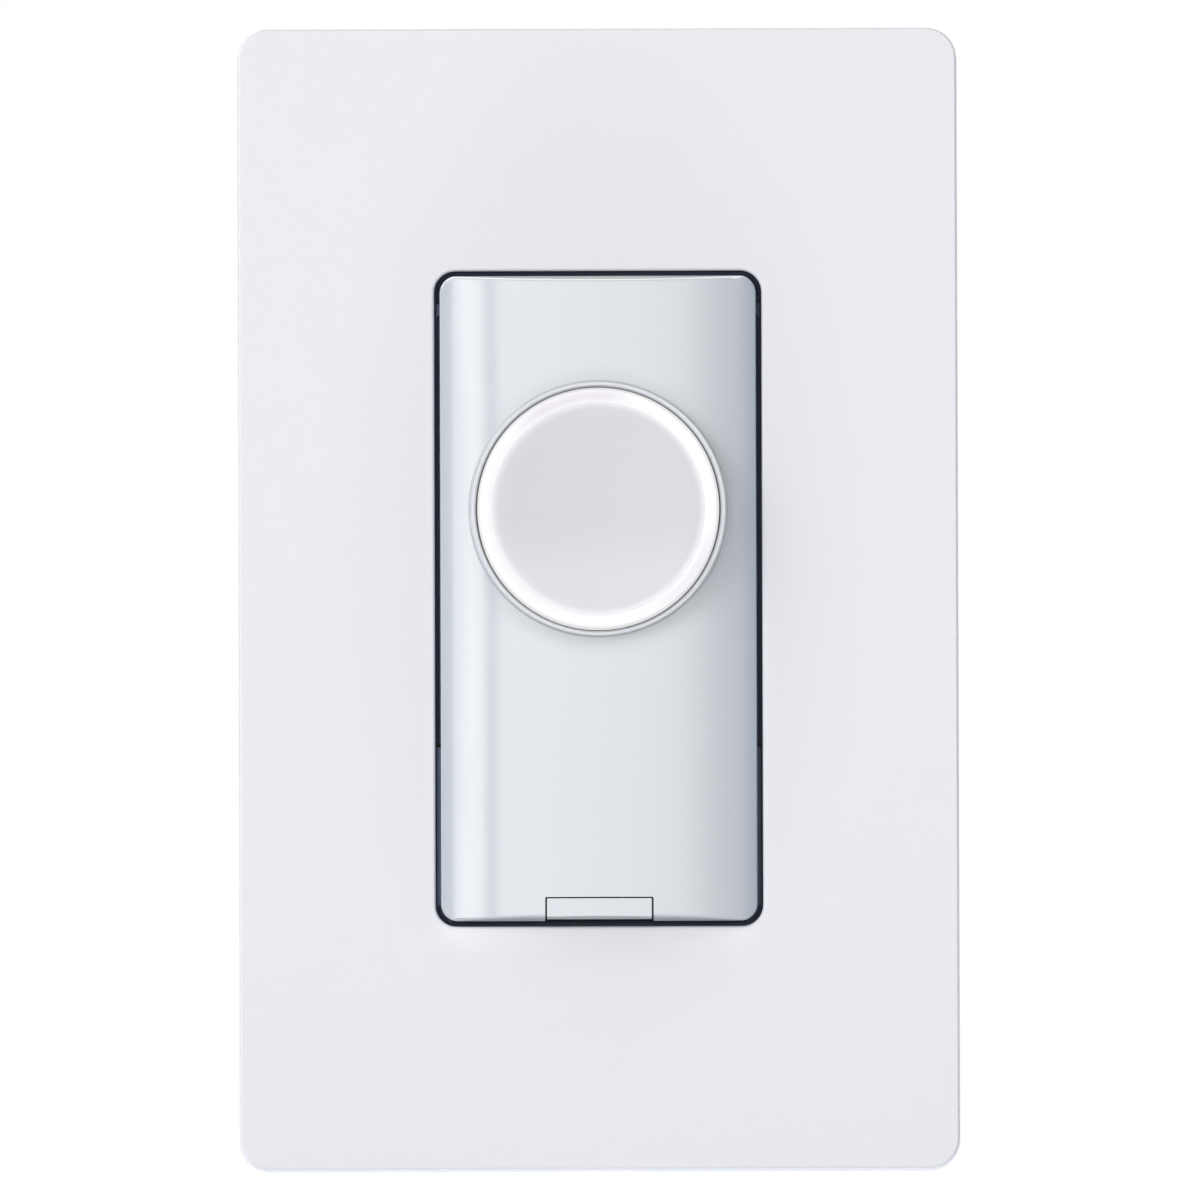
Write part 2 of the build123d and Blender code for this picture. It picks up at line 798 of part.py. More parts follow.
def return_spring():
    """The coil spring between the inner frame's seat and the cap."""
    low = carrier_front - spring_seat_depth + spring_wire / 2 + spring_end_gap
    high = cap_under - spring_wire / 2 - spring_end_gap
    path = Helix(pitch=(high - low) / spring_turns, height=high - low, radius=spring_radius)
    section = Plane(path @ 0, z_dir=path % 0) * Circle(spring_wire / 2)
    return Pos(0, button_y, low) * sweep(section, path=path)


def button_carrier():
    """The inner frame: spring seat, leg slots, foot holes and standoffs to the board."""
    sheet = Pos(0, button_y) * RectangleRounded(carrier_width, carrier_height, yoke_round)
    sheet -= Pos(0, button_y) * Circle(tact_size * math.sqrt(0.5) + spring_seat_gap)
    for angle in led_angles:
        place = Pos(0, button_y) * Rot(0, 0, angle) * Pos(guide_middle, 0)
        sheet -= place * Circle(foot_radius + foot_clearance)
    slot_in = leg_radius - leg_wall / 2 - hook_length - hook_gap
    slot_out = leg_radius + leg_wall / 2 + hook_gap
    for angle in leg_angles:
        place = Pos(0, button_y) * Rot(0, 0, angle) * Pos((slot_in + slot_out) / 2, 0)
        sheet -= place * Rectangle(slot_out - slot_in, leg_width + 4 * hook_gap)
    frame = slab(sheet, carrier_back, carrier_front)
    seat_radius = spring_radius + spring_wire / 2 + spring_seat_gap
    frame -= rod(0, button_y, carrier_front - spring_seat_depth, carrier_front, seat_radius)
    for x, y in boss_places:
        frame += rod(x, y, board_front, carrier_back, pillar_radius)
        frame -= rod(x, y, board_front, carrier_front, board_screw_radius + hole_clearance)
    return frame


def light_guide():
    """The clear ring under the diffuser, with a foot over every LED."""
    ring = Circle(guide_outer) - Circle(guide_inner)
    guide = slab(Pos(0, button_y) * ring, carrier_front, guide_top)
    foot_end = board_front + led_height + led_gap
    for angle in led_angles:
        guide += polar(angle, guide_middle, (foot_end + carrier_front) / 2) * Cylinder(
            foot_radius, carrier_front - foot_end
        )
    return guide


def control_board():
    """The front board, in the yoke's window, with holes for screws and hooked legs."""
    sheet = RectangleRounded(board_width, board_height, yoke_round)
    for x, y in boss_places:
        sheet -= Pos(x, y) * Circle(board_screw_radius + hole_clearance)
    slot_in = leg_radius - leg_wall / 2 - 2 * hook_gap
    slot_out = leg_radius + leg_wall / 2 + hook_length + 3 * hook_gap
    for angle in leg_angles:
        place = Pos(0, button_y) * Rot(0, 0, angle) * Pos((slot_in + slot_out) / 2, 0)
        sheet -= place * Rectangle(slot_out - slot_in, leg_width + 4 * hook_gap)
    return slab(sheet, board_back, board_front)


def ring_leds():
    """The LEDs in a circle below the light guide's feet."""
    height = board_front + led_height / 2
    return group([polar(angle, guide_middle, height) * Box(led_size, led_size, led_height)
                  for angle in led_angles])


def tact_switch():
    """The electrical push switch, bored for the plunger."""
    body = Pos(0, button_y, board_front + tact_height / 2) * Box(tact_size, tact_size, tact_height)
    return body - rod(0, button_y, board_front + tact_floor, tact_top, stem_radius + stem_gap)


def radio_module():
    """The wireless link's own small board, with castellated edges."""
    sheet = Pos(0, radio_y) * Rectangle(radio_width, radio_height)
    spacing = radio_height / (radio_pad_count + 1)
    for side in (-1, 1):
        for step in range(radio_pad_count):
            y = radio_y - radio_height / 2 + (step + 1) * spacing
            sheet -= Pos(side * radio_width / 2, y) * Circle(radio_pad_radius)
    return slab(sheet, board_front, board_front + radio_sheet)


def radio_shield():
    """The tinned can over the wireless link."""
    base = board_front + radio_sheet
    width = radio_width - 2 * shield_inset
    height = radio_height - 2 * shield_inset
    can = slab(Pos(0, radio_y) * RectangleRounded(width, height, 3 * shield_wall), base, base + shield_height)
    inner_width = width - 2 * shield_wall
    inner_height = height - 2 * shield_wall
    hollow = Pos(0, radio_y) * RectangleRounded(inner_width, inner_height, 2 * shield_wall)
    return can - slab(hollow, base, base + shield_height - shield_wall)


def control_chips():
    """The processor and three smaller chips on the back of the front board."""
    shares = [(0, -0.12, 1, 1), (-0.3, -0.3, 0.6, 0.7), (0.3, -0.3, 0.7, 0.6), (0, -0.38, 0.9, 0.45)]
    chips = []
    for share_x, share_y, wide, high in shares:
        place = Pos(share_x * board_width, share_y * board_height)
        outline = place * Rectangle(wide * chip_size, high * chip_size)
        chips.append(slab(outline, board_back - chip_height, board_back))
    return group(chips)


def board_screws():
    """Four small screws from the back of the front board into the insert's pillars."""
    screws = []
    for x, y in boss_places:
        end = pilot_top() - hole_clearance
        screws.append(rear_driven(x, y, board_back, end, board_screw_radius, board_head_radius,
                                  board_head_height))
    return group(screws)


def air_gap_tab():
    """The pull-out tab: crowned front flush with the insert, nail groove, stem, barbs and peg."""
    half = tab_width / 2
    skin = crowned_block(insert_width, insert_height, insert_corner, 0, yoke_sheet)
    tab = skin & block(-half, half, tab_bottom, tab_top, tab_block_back, lip_top)
    groove = half - notch_wall
    tab -= block(-groove, groove, -insert_height, tab_bottom + tab_groove, face_side - 3 * tab_groove,
                 face_side - tab_groove)
    side = stem_width / 2
    barb_top = -tab_travel - barb_clearance
    barb_low = barb_top - barb_height
    outline = shape(
        (side, tab_block_back), (side, barb_top), (side + barb_length, barb_top), (side, barb_low),
        (side, stem_tip), (-side, stem_tip), (-side, barb_low), (-side - barb_length, barb_top),
        (-side, barb_top), (-side, tab_block_back),
    )
    low = tab_middle - stem_thickness / 2
    tab += along_y(outline, low, low + stem_thickness)
    peg = bridge_peg / 2
    return tab + block(-2 * peg, 2 * peg, tab_middle - peg, tab_middle + peg, stem_tip - bridge_sheet, stem_tip)


def contact_bridge():
    """The strip on the tab's stem that joins the two fixed blades."""
    half = bridge_width / 2
    low = tab_middle - stem_thickness / 2
    strip = block(-half, half, low, low + stem_thickness, stem_tip - bridge_sheet, stem_tip)
    peg = bridge_peg / 2 + thread_clearance
    hole = block(-2 * peg, 2 * peg, tab_middle - peg, tab_middle + peg, stem_tip - bridge_sheet, stem_tip)
    return strip - hole


def gap_contacts():
    """The two folded blades that the bridge closes, standing on the rear board."""
    top = stem_tip - bridge_sheet - blade_gap
    outer = bridge_width / 2
    inner = outer - blade_width
    sheet = blade_sheet
    profile = shape((inner, top), (outer, top), (outer, power_front), (outer - sheet, power_front),
                    (outer - sheet, top - sheet), (inner, top - sheet))
    low = tab_middle - stem_thickness / 2
    blade = along_y(profile, low, low + stem_thickness)
    return group([blade, mirror(blade, Plane.YZ)])


def rear_housing():
    """The back body: drafted box, screw columns, terminal blocks, wire holes and board rests."""
    outer = RectangleRounded(rear_width, rear_height, rear_corner)
    body = Rot(0, 180, 0) * slab(outer, 0, rear_depth, rear_draft)
    body = chamfer(body.faces().sort_by(Axis.Z)[0].edges(), rear_chamfer)
    inner_width = rear_width - 2 * rear_wall
    inner_height = rear_height - 2 * rear_wall
    inner = RectangleRounded(inner_width, inner_height, rear_corner - rear_wall)
    hollow = slab(inner, rear_wall - rear_depth, 0)
    solid = body
    body -= hollow
    floor = rear_wall - rear_depth
    inside = [rod(x, y, floor, 0, column_radius) for x, y in column_places]
    half = pocket_length / 2 + pocket_wall
    for side, y in terminal_places:
        x0, x1 = sorted((side * block_inner, side * rear_width / 2))
        inside.append(block(x0, x1, y - half, y + half, floor, pocket_top + pocket_wall))
    for side in (-1, 1):
        x0, x1 = sorted((side * inner_width / 2, side * (inner_width / 2 - barrier_rest_depth)))
        half = barrier_rest_width / 2
        for y in (-board_rest_y, 0, board_rest_y):
            inside.append(block(x0, x1, y - half, y + half, floor, barrier_z))
        half = power_rest_width / 2
        y = side * board_rest_y
        inside.append(block(-power_width / 3, power_width / 3, y - half, y + half, floor, power_back))
    for item in inside:
        body += item & solid
    for side, y in terminal_places:
        body -= terminal_cut(side, y)
    well = housing_head_radius + head_well_gap
    for x, y in column_places:
        body -= rod(x, y, -rear_depth, 0, housing_screw_radius + hole_clearance)
        body -= rod(x, y, -rear_depth, head_well_depth - rear_depth, well)
    gauge = SlotOverall(gauge_length, gauge_width)
    return body - slab(gauge, -rear_depth, gauge_depth - rear_depth)


def terminal_cut(side, y):
    """One side pocket, its screw and tongue passages and its two wire holes."""
    half = pocket_length / 2
    x0, x1 = sorted((side * pocket_floor, side * rear_width))
    cut = block(x0, x1, y - half, y + half, pocket_bottom, pocket_top)
    x0, x1 = sorted((side * (block_inner - power_side_gap), side * pocket_floor))
    tongue = terminal_tongue / 2 + tongue_clearance
    z0, z1 = tongue_heights()
    cut += block(x0, x1, y - tongue, y + tongue, z0 - tongue_clearance, z1 + tongue_clearance)
    bore = machine_radius + hole_clearance
    cut += lengthwise(side, y, terminal_z, block_inner - power_side_gap, pocket_floor, bore)
    wire_x = side * (pocket_floor + terminal_sheet + wire_gap / 2)
    for step in (-wire_hole_offset, wire_hole_offset):
        cut += rod(wire_x, y + step, -rear_depth, pocket_bottom, wire_hole_radius)
    return cut


def tongue_heights():
    """Lower and upper face of the terminal plates' inward tongue."""
    low = pocket_bottom + 2 * tongue_clearance
    return low, low + terminal_sheet


def lengthwise(side, y, z, x0, x1, radius):
    """A round bar along x, on the side named by its sign."""
    return Pos(side * (x0 + x1) / 2, y, z) * Rot(0, 90, 0) * Cylinder(radius, x1 - x0)


def terminal_plates():
    """Four plates on the pocket floors, each with a tongue and a leg down to the rear board."""
    plates = []
    for side, y in terminal_places:
        low, high = tongue_heights()
        half = pressure_length / 2
        x0, x1 = sorted((side * pocket_floor, side * (pocket_floor + terminal_sheet)))
        plate = block(x0, x1, y - half, y + half, low, terminal_z + pressure_height / 2)
        leg_inner = power_width / 2 - terminal_sheet
        tongue = terminal_tongue / 2
        x0, x1 = sorted((side * leg_inner, side * pocket_floor))
        plate += block(x0, x1, y - tongue, y + tongue, low, high)
        x0, x1 = sorted((side * leg_inner, side * (leg_inner + terminal_sheet)))
        plate += block(x0, x1, y - tongue / 2, y + tongue / 2, power_front, low)
        bore = machine_radius
        plates.append(plate - lengthwise(side, y, terminal_z, pocket_floor, clamp_inner, bore))
    return group(plates)


def pressure_plates():
    """Four clamp plates under the terminal screws' heads."""
    plates = []
    for side, y in terminal_places:
        x0, x1 = sorted((side * clamp_inner, side * clamp_outer))
        half = pressure_length / 2
        rise = pressure_height / 2
        plate = block(x0, x1, y - half, y + half, terminal_z - rise, terminal_z + rise)
        bore = machine_radius + hole_clearance
        plates.append(plate - lengthwise(side, y, terminal_z, pocket_floor, rear_width, bore))
    return group(plates)


def terminal_screws():
    """Four wide-headed screws that close the clamp plates on the wires."""
    screws = []
    shank = machine_radius - thread_clearance
    for side, y in terminal_places:
        screw = lengthwise(side, y, terminal_z, block_inner + thread_clearance, clamp_outer, shank)
        head_end = clamp_outer + terminal_head_height
        head = lengthwise(side, y, terminal_z, clamp_outer, head_end, terminal_head_radius)
        rim = head.faces().sort_by(Axis.X)[-1 if side > 0 else 0].edges()
        screw += chamfer(rim, terminal_head_chamfer)
        x0, x1 = sorted((side * (head_end - driver_depth), side * head_end))
        reach = terminal_head_radius
        half = driver_slot / 2
        screw -= block(x0, x1, y - reach, y + reach, terminal_z - half, terminal_z + half)
        reach *= cross_reach_share
        screws.append(screw - block(x0, x1, y - half, y + half, terminal_z - reach, terminal_z + reach))
    return group(screws)


def housing_screws():
    """Four long screws from the back through body and yoke into the insert's bosses."""
    screws = []
    seat = head_well_depth - rear_depth
    end = yoke_sheet + housing_screw_bite
    for x, y in column_places:
        screws.append(rear_driven(x, y, seat, end, housing_screw_radius, housing_head_radius,
                                  housing_head_height))
    return group(screws)


def insulating_barrier():
    """The sheet between the low-voltage front and the mains side."""
    width = rear_width - 2 * rear_wall - 2 * barrier_gap
    height = rear_height - 2 * rear_wall - 2 * barrier_gap
    sheet = RectangleRounded(width, height, yoke_round)
    for x, y in column_places:
        sheet -= Pos(x, y) * Circle(column_radius + barrier_gap)
    stem_gap_width = stem_width + 2 * barb_length + 4 * barrier_gap
    reach = rear_height / 2 + tab_middle + stem_thickness
    low = -rear_height / 2
    sheet -= Pos(0, low + reach / 2) * Rectangle(stem_gap_width, reach)
    header_length = header_count * header_spacing
    sheet -= Pos(0, header_y) * Rectangle(header_length + barrier_gap, header_width + barrier_gap)
    spread = spreader_front() - spreader_foot - barrier_gap
    sheet -= Pos(0, (spread + rear_height / 2) / 2) * Rectangle(
        spreader_width + 2 * barrier_gap, rear_height / 2 - spread
    )
    return slab(sheet, barrier_z, barrier_z + barrier_sheet)


def power_board():
    """The rear board, cut round the screw columns."""
    height = rear_height - 2 * rear_wall - 2 * power_gap
    sheet = RectangleRounded(power_width, height, yoke_round)
    for x, y in column_places:
        sheet -= Pos(x, y) * Circle(column_radius + power_gap)
    return slab(sheet, power_back, power_front)


def fuse():
    """The line fuse, lying across the board between its two end caps."""
    half = fuse_length / 2
    cap = fuse_cap_radius
    height = power_front + cap
    tube = lengthwise(1, fuse_y, height, -half, half, fuse_radius)
    for side in (-1, 1):
        tube += lengthwise(side, fuse_y, height, half * 0.6, half, cap)
    return tube


def varistor():
    """The surge disc, standing on edge with two leads."""
    height = power_front + varistor_radius + row_gap
    half = varistor_thickness / 2
    disc = crosswise(varistor_x, height, varistor_y - half, varistor_y + half, varistor_radius)
    disc = fillet(disc.edges().filter_by(GeomType.CIRCLE), varistor_thickness / 4)
    for side in (-1, 1):
        x = varistor_x + side * varistor_radius / 2
        disc += block(x - lead_width / 2, x + lead_width / 2, varistor_y - lead_width / 2,
                      varistor_y + lead_width / 2, power_front, height - varistor_radius / 2)
    return disc


def line_inductor():
    """The noise filter's drum: a spool with a full winding."""
    top = power_front + inductor_height
    flange = inductor_height / 9
    rim = inductor_radius
    wound = rim * 0.9
    return turned(
        [
            (0, power_front), (rim, power_front), (rim, power_front + flange),
            (wound, power_front + flange), (wound, top - flange), (rim, top - flange), (rim, top), (0, top),
        ],
        inductor_x, varistor_y,
    )


def transformer_core():
    """The double-E core of the small supply's transformer, standing on the board."""
    half = core_width / 2
    low = power_front
    top = low + core_height
    profile = Pos(0, (low + top) / 2) * Rectangle(core_width, core_height)
    window = half - core_leg - core_middle / 2
    centre = core_middle / 2 + window / 2
    for side in (-1, 1):
        profile -= Pos(side * centre, (low + top) / 2) * Rectangle(window, core_height - 2 * core_leg)
    return along_y(profile, core_y - core_thickness / 2, core_y + core_thickness / 2)


def transformer_bobbin():
    """The wound spool on the core's middle leg."""
    low = power_front + core_leg + bobbin_gap
    top = power_front + core_height - core_leg - bobbin_gap
    out_x = core_width / 2 - core_leg - bobbin_gap
    out_y = bobbin_side
    flange = bobbin_flange
    cheek = Pos(0, core_y) * RectangleRounded(2 * out_x, 2 * out_y, flange)
    spool = slab(cheek, low, low + flange) + slab(cheek, top - flange, top)
    wound = Pos(0, core_y) * RectangleRounded(
        2 * (out_x - winding_inset), 2 * (out_y - winding_inset), 4 * winding_inset
    )
    spool += slab(wound, low + flange, top - flange)
    hole = Pos(0, core_y) * Rectangle(core_middle + 2 * bobbin_gap, core_thickness + 2 * bobbin_gap)
    return spool - slab(hole, low, top)


def film_capacitor():
    """The boxed line capacitor."""
    low = power_front
    box = slab(Pos(0, film_y) * Rectangle(film_width, film_thickness), low, low + film_height)
    return chamfer(box.faces().sort_by(Axis.Z)[-1].edges(), film_thickness / 10)


def bulk_capacitors():
    """Two can capacitors with their rolled-in groove."""
    cans = []
    for side in (-1, 1):
        low = power_front
        top = low + bulk_height
        rim = bulk_radius
        dent = bulk_groove
        outline = [
            (0, low), (rim, low), (rim, low + 2 * dent), (rim - dent, low + 3 * dent), (rim, low + 4 * dent),
            (rim, top - dent), (rim - dent, top), (0, top),
        ]
        cans.append(turned(outline, side * bulk_x, bulk_y))
    return group(cans)


def header_base():
    """The moulded spacer of the link between the two boards."""
    length = header_count * header_spacing
    low = power_front
    base = slab(Pos(0, header_y) * Rectangle(length, header_width), low, low + header_height)
    hole = pin_side + 2 * thread_clearance
    for x in header_places():
        base -= slab(Pos(x, header_y) * Rectangle(hole, hole), low, low + header_height)
    return base


def header_places():
    """The pins' places along the header."""
    middle = (header_count - 1) / 2
    return [(step - middle) * header_spacing for step in range(header_count)]


def header_pins():
    """Square pins from the rear board to the front board."""
    return group([slab(Pos(x, header_y) * Rectangle(pin_side, pin_side), power_front, board_back)
                  for x in header_places()])


def spreader_front():
    """The face of the heat spreader that the semiconductor lies on."""
    return rear_height / 2 - rear_wall - power_gap - spreader_sheet


def heat_spreader():
    """The bent aluminium strip that takes heat from the semiconductor to the yoke."""
    face = spreader_front()
    sheet = spreader_sheet
    profile = shape((face, power_front), (face + sheet, power_front), (face + sheet, 0),
                    (face - spreader_foot, 0), (face - spreader_foot, -sheet), (face, -sheet))
    return along_x(profile, -spreader_width / 2, spreader_width / 2)


def triac():
    """The dimming semiconductor, flat on the heat spreader, with three leads."""
    face = spreader_front()
    low = power_front + triac_lift
    half = triac_width / 2
    body = block(-half, half, face - triac_thickness, face, low, low + triac_height)
    y0 = face - (triac_thickness + lead_sheet) / 2
    for x in (-header_spacing, 0, header_spacing):
        body += block(x - lead_width / 2, x + lead_width / 2, y0, y0 + lead_sheet, power_front, low)
    return body


pieces = [
    wall_plate, sub_plate, sub_plate_screws, mounting_yoke, box_screws, screw_retainers, ground_screw,
    front_housing, button_cap, light_ring, switch_stem, return_spring, button_carrier, light_guide,
    control_board, ring_leds, tact_switch, radio_module, radio_shield, control_chips, board_screws,
    air_gap_tab, contact_bridge, gap_contacts, rear_housing, terminal_plates, pressure_plates,
    terminal_screws, housing_screws, insulating_barrier, power_board, fuse, varistor, line_inductor,
    transformer_core, transformer_bobbin, film_capacitor, bulk_capacitors, header_base, header_pins,
    heat_spreader, triac,
]

os.makedirs("parts", exist_ok=True)
for piece in pieces:
    export_step(stand_up(piece()), os.path.join("parts", piece.__name__ + ".step"))
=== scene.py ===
import math

import bmesh
import bpy
import numpy as np
from bpy.props import FloatProperty, FloatVectorProperty, IntProperty, PointerProperty
from mathutils import Matrix, Vector


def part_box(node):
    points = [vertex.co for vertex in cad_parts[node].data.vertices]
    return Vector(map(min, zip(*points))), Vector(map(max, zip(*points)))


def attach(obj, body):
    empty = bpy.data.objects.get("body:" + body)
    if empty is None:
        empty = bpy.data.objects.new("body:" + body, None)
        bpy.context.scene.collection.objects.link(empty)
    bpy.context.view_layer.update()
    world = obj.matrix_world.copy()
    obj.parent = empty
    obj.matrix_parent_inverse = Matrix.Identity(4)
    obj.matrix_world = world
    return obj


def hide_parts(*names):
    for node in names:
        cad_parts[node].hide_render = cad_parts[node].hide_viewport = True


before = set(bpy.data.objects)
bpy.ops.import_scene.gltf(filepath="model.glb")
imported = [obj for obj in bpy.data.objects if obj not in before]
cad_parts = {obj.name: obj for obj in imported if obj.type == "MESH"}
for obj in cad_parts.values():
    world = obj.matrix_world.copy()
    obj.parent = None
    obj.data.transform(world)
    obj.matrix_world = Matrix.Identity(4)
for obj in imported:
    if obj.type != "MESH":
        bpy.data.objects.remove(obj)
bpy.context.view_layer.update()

bl_info = {
    "name": "Wall Switch Finish",
    "version": (1, 0, 0),
    "blender": (4, 5, 0),
    "location": "3D View > Sidebar > Wall Switch",
    "description": "Finishes, screw threads and the studio of a lit wall switch",
    "category": "Object",
}

MM = 0.001
PHOTO_SIDE = 1200
PHOTO_PLATE_TOP = 29.4
PHOTO_PLATE_BOTTOM = 1170.8
PHOTO_PLATE_CENTRE = (598.5, 600.7)
PLATE_LOW, PLATE_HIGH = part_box("wall_plate")
FACE_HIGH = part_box("front_housing")[1]
CAP_LOW, CAP_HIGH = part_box("button_cap")
BUTTON_CENTRE = (CAP_LOW + CAP_HIGH) / 2
CAP_RADIUS = (CAP_HIGH.x - CAP_LOW.x) / 2
BLACK = (0.0, 0.0, 0.0)
WHITE = (1.0, 1.0, 1.0)
STRAIGHT_OUT = (0.0, -1.0, 0.0)
EVEN = (1.0, 1.0, 1.0)
# Half the width and height of the yoke's face that lies behind the insert.
BEHIND_INSERT = (16.3 * MM, 33.1 * MM)


def length(name, default, text, low=0.0):
    """A size of the panel, in metres."""
    return FloatProperty(name=name, description=text, default=default, min=low, unit="LENGTH", precision=5)


def share(name, default, text, high=1.0):
    """A plain number of the panel, from 0 to high."""
    return FloatProperty(name=name, description=text, default=default, min=0.0, max=high, subtype="FACTOR")


def colour(name, default, text):
    """A colour of the panel, in linear light."""
    return FloatVectorProperty(name=name, description=text, default=default, size=3, min=0.0, max=1.0,
                               subtype="COLOR")


class CoverSettings(bpy.types.PropertyGroup):
    """Finish of the cover plate and of the sub plate behind it."""
    cover: colour("Cover", (0.722, 0.712, 0.736), "Colour of the moulded cover plate")
    # sub_plate: the plate's own dark grey, toned bluish on its front as painted shade like the gap
    sub_plate: colour("Sub plate", (0.081, 0.098, 0.146), "Colour of the plate that the cover clips onto")
    sub_back: colour("Sub plate back", (0.105, 0.108, 0.115), "Colour of that plate's back")
    back_start: length("Back start", -2.9 * MM, "Depth where the sub plate's back tone starts", low=-1.0)
    back_full: length("Back full", -2.3 * MM, "Depth where the sub plate has its back tone", low=-1.0)
    # gap: painted shade, a dark bluish colour that stands in for the darkness deep in the gap round the
    # insert
    gap: colour("Gap", (0.060, 0.073, 0.108), "Colour of the walls deep in the gap round the insert")
    gap_start: length("Gap start", 0.28 * MM, "Depth under the cover's front where the gap's shade starts")
    gap_full: length("Gap full", 0.6 * MM, "Depth under the cover's front where the gap is fully dark")
    grain: length("Grain", 0.35 * MM, "Size of the cover's satin texture")
    grain_depth: length("Grain depth", 0.004 * MM, "Height of the cover's satin texture")
    shade: share("Shade", 0.058, "How much the cover's tone falls off towards its opening")
    shade_height: length("Shade height", 6.0 * MM, "Height of the middle of the falling tone")
    opening_reach: length("Opening reach", 0.8 * MM, "From the insert out to where the opening's wall ends")
    soften: share("Soften", 0.7, "How much the opening's rounded edge is shaded like the front")
    # painted light: the cover is drawn lighter below its opening, against the shadow the insert casts there
    lift: share("Lift", 1.1, "How much lighter the cover is below its opening", 2.0)
    lift_half: length("Lift half", 14.0 * MM, "Half the width of the lighter tone")
    lift_fade: length("Lift fade", 4.0 * MM, "How far the lighter tone fades at its sides")
    lift_start: length("Lift start", -33.4 * MM, "Height where the cover is lightest", low=-1.0)
    lift_end: length("Lift end", -37.5 * MM, "Height where the lighter tone has faded", low=-1.0)


class InsertSettings(bpy.types.PropertyGroup):
    """Finish of the polished insert and its service tab."""
    insert: colour("Insert", (0.508, 0.522, 0.549), "Colour of the polished insert")
    side_rise: length("Side rise", 0.3 * MM, "How far the insert's side edges stand before the cover")
    gap_start: length("Gap start", 0.1 * MM, "Depth under the side edges where the gap's shade starts")
    gap_full: length("Gap full", 0.35 * MM, "Depth under the side edges where the gap is fully dark")
    # end_painted_light: painted light, the lighter colour of the sloped upper end and of the edge over the
    # service tab
    end_painted_light: colour("End tone", (0.93, 0.94, 0.95), "Colour of the sloped upper end")
    end_height: length("End height", 31.0 * MM, "Height where the sloped upper end starts")
    soften: share("Soften", 0.97, "How much the sloped upper end is shaded like the front")
    # ledge, ledge_left, notch: painted shade deep in the gap, lighter on the ledges and most at the left,
    # darkest in the notch
    ledge: share("Ledge", 2.8, "How much lighter than the gap the insert's right ledge is", 5.0)
    ledge_left: share("Ledge left", 6.0, "How much lighter than the gap the left ledge is", 10.0)
    ledge_top: length("Ledge top", -14.72 * MM, "Height of the side ledges' upper ends", low=-1.0)
    ledge_notch: length("Ledge notch", 0.35 * MM, "Height of the dark notch at the side ledges' upper ends")
    notch: share("Notch", 0.1, "How much of the gap's tone the notch keeps")
    # flank, flank_right, flank_painted_shade: painted shade, a cool darker tone along the side edges, more
    # at the right
    flank: share("Flank", 0.2, "How much the insert takes on the flank's tint along its side edges")
    flank_right: share("Flank right", 0.28, "How much more it takes on at its outermost right")
    flank_painted_shade: colour("Flank tint", (0.22, 0.30, 0.40), "Cool tone of the insert's side edges")
    halo: share("Halo", 0.29, "Shade on the face below the button's lip")
    halo_above: share("Halo above", 0.11, "Shade on the face above the button's lip")
    halo_start: length("Halo start", 12.8 * MM, "Distance from the button's axis where the shade starts")
    halo_end: length("Halo end", 16.5 * MM, "Distance from the button's axis where the shade has gone")
    slot_half: length("Slot half", 5.49 * MM, "Half the width of the service tab's opening")
    slot_wall: length("Slot wall", 0.03 * MM, "How near to that width the opening's walls lie")
    line_half: length("Line half", 5.4 * MM, "Half the width of the rounded edge over the service tab")
    line_up: length("Line up", 0.075 * MM, "From the service tab up to the middle of that edge")
    line_reach: length("Line reach", 0.09 * MM, "Half the height of that edge")
    roughness: share("Roughness", 0.11, "Roughness of the polished insert")
    ior: FloatProperty(name="IOR", description="How strongly the polish mirrors", default=1.56, min=1.0)
    ripple: length("Ripple", 4.0 * MM, "Size of the faint unevenness of the polish")
    ripple_depth: length("Ripple depth", 0.002 * MM, "Height of the faint unevenness of the polish")


class ButtonSettings(bpy.types.PropertyGroup):
    """Finish of the round button, its ring of light and what carries them."""
    cap: colour("Cap", (0.577, 0.575, 0.594), "Colour of the button's touch face")
    ring: colour("Ring", (1.0, 0.99, 1.0), "Colour of the lit ring")
    # ring_painted_shade: painted shade on the lit ring, at its top and its lower right
    ring_painted_shade: colour("Ring tint", (0.83, 0.785, 0.845), "Tint of the ring at its top and its lower right")
    tint_place: length("Tint place", 0.65 * MM, "From the cap's rim out to the deepest tint")
    rim_start: length("Rim start", 11.95 * MM, "Distance from the axis where the ring's duller rim starts")
    ring_strength: share("Ring strength", 0.86, "Brightness of the lit ring", 10.0)
    dish: length("Dish", 159.0 * MM, "Radius of the hollow of the touch face")
    glow_width: length("Glow width", 0.95 * MM, "How far the ring's light runs into the cap's rim")
    glow_strength: share("Glow strength", 0.16, "Brightness of the light in the cap's rim", 10.0)
    moulded: colour("Inner frame", (0.68, 0.68, 0.67), "Colour of the moulded inner frame")


class MetalSettings(bpy.types.PropertyGroup):
    """Finish of the plated, brass and aluminium pieces."""
    zinc: colour("Zinc", (0.60, 0.61, 0.63), "Colour of the zinc plating")
    brass: colour("Brass", (0.72, 0.52, 0.24), "Colour of the brass terminals")
    tin: colour("Tin", (0.66, 0.67, 0.68), "Colour of the tinned shield")
    aluminium: colour("Aluminium", (0.74, 0.75, 0.77), "Colour of the heat spreader")
    spring: colour("Spring wire", (0.50, 0.50, 0.52), "Colour of the spring wire")
    earth: colour("Earth screw", (0.045, 0.30, 0.115), "Colour of the green earth screw")


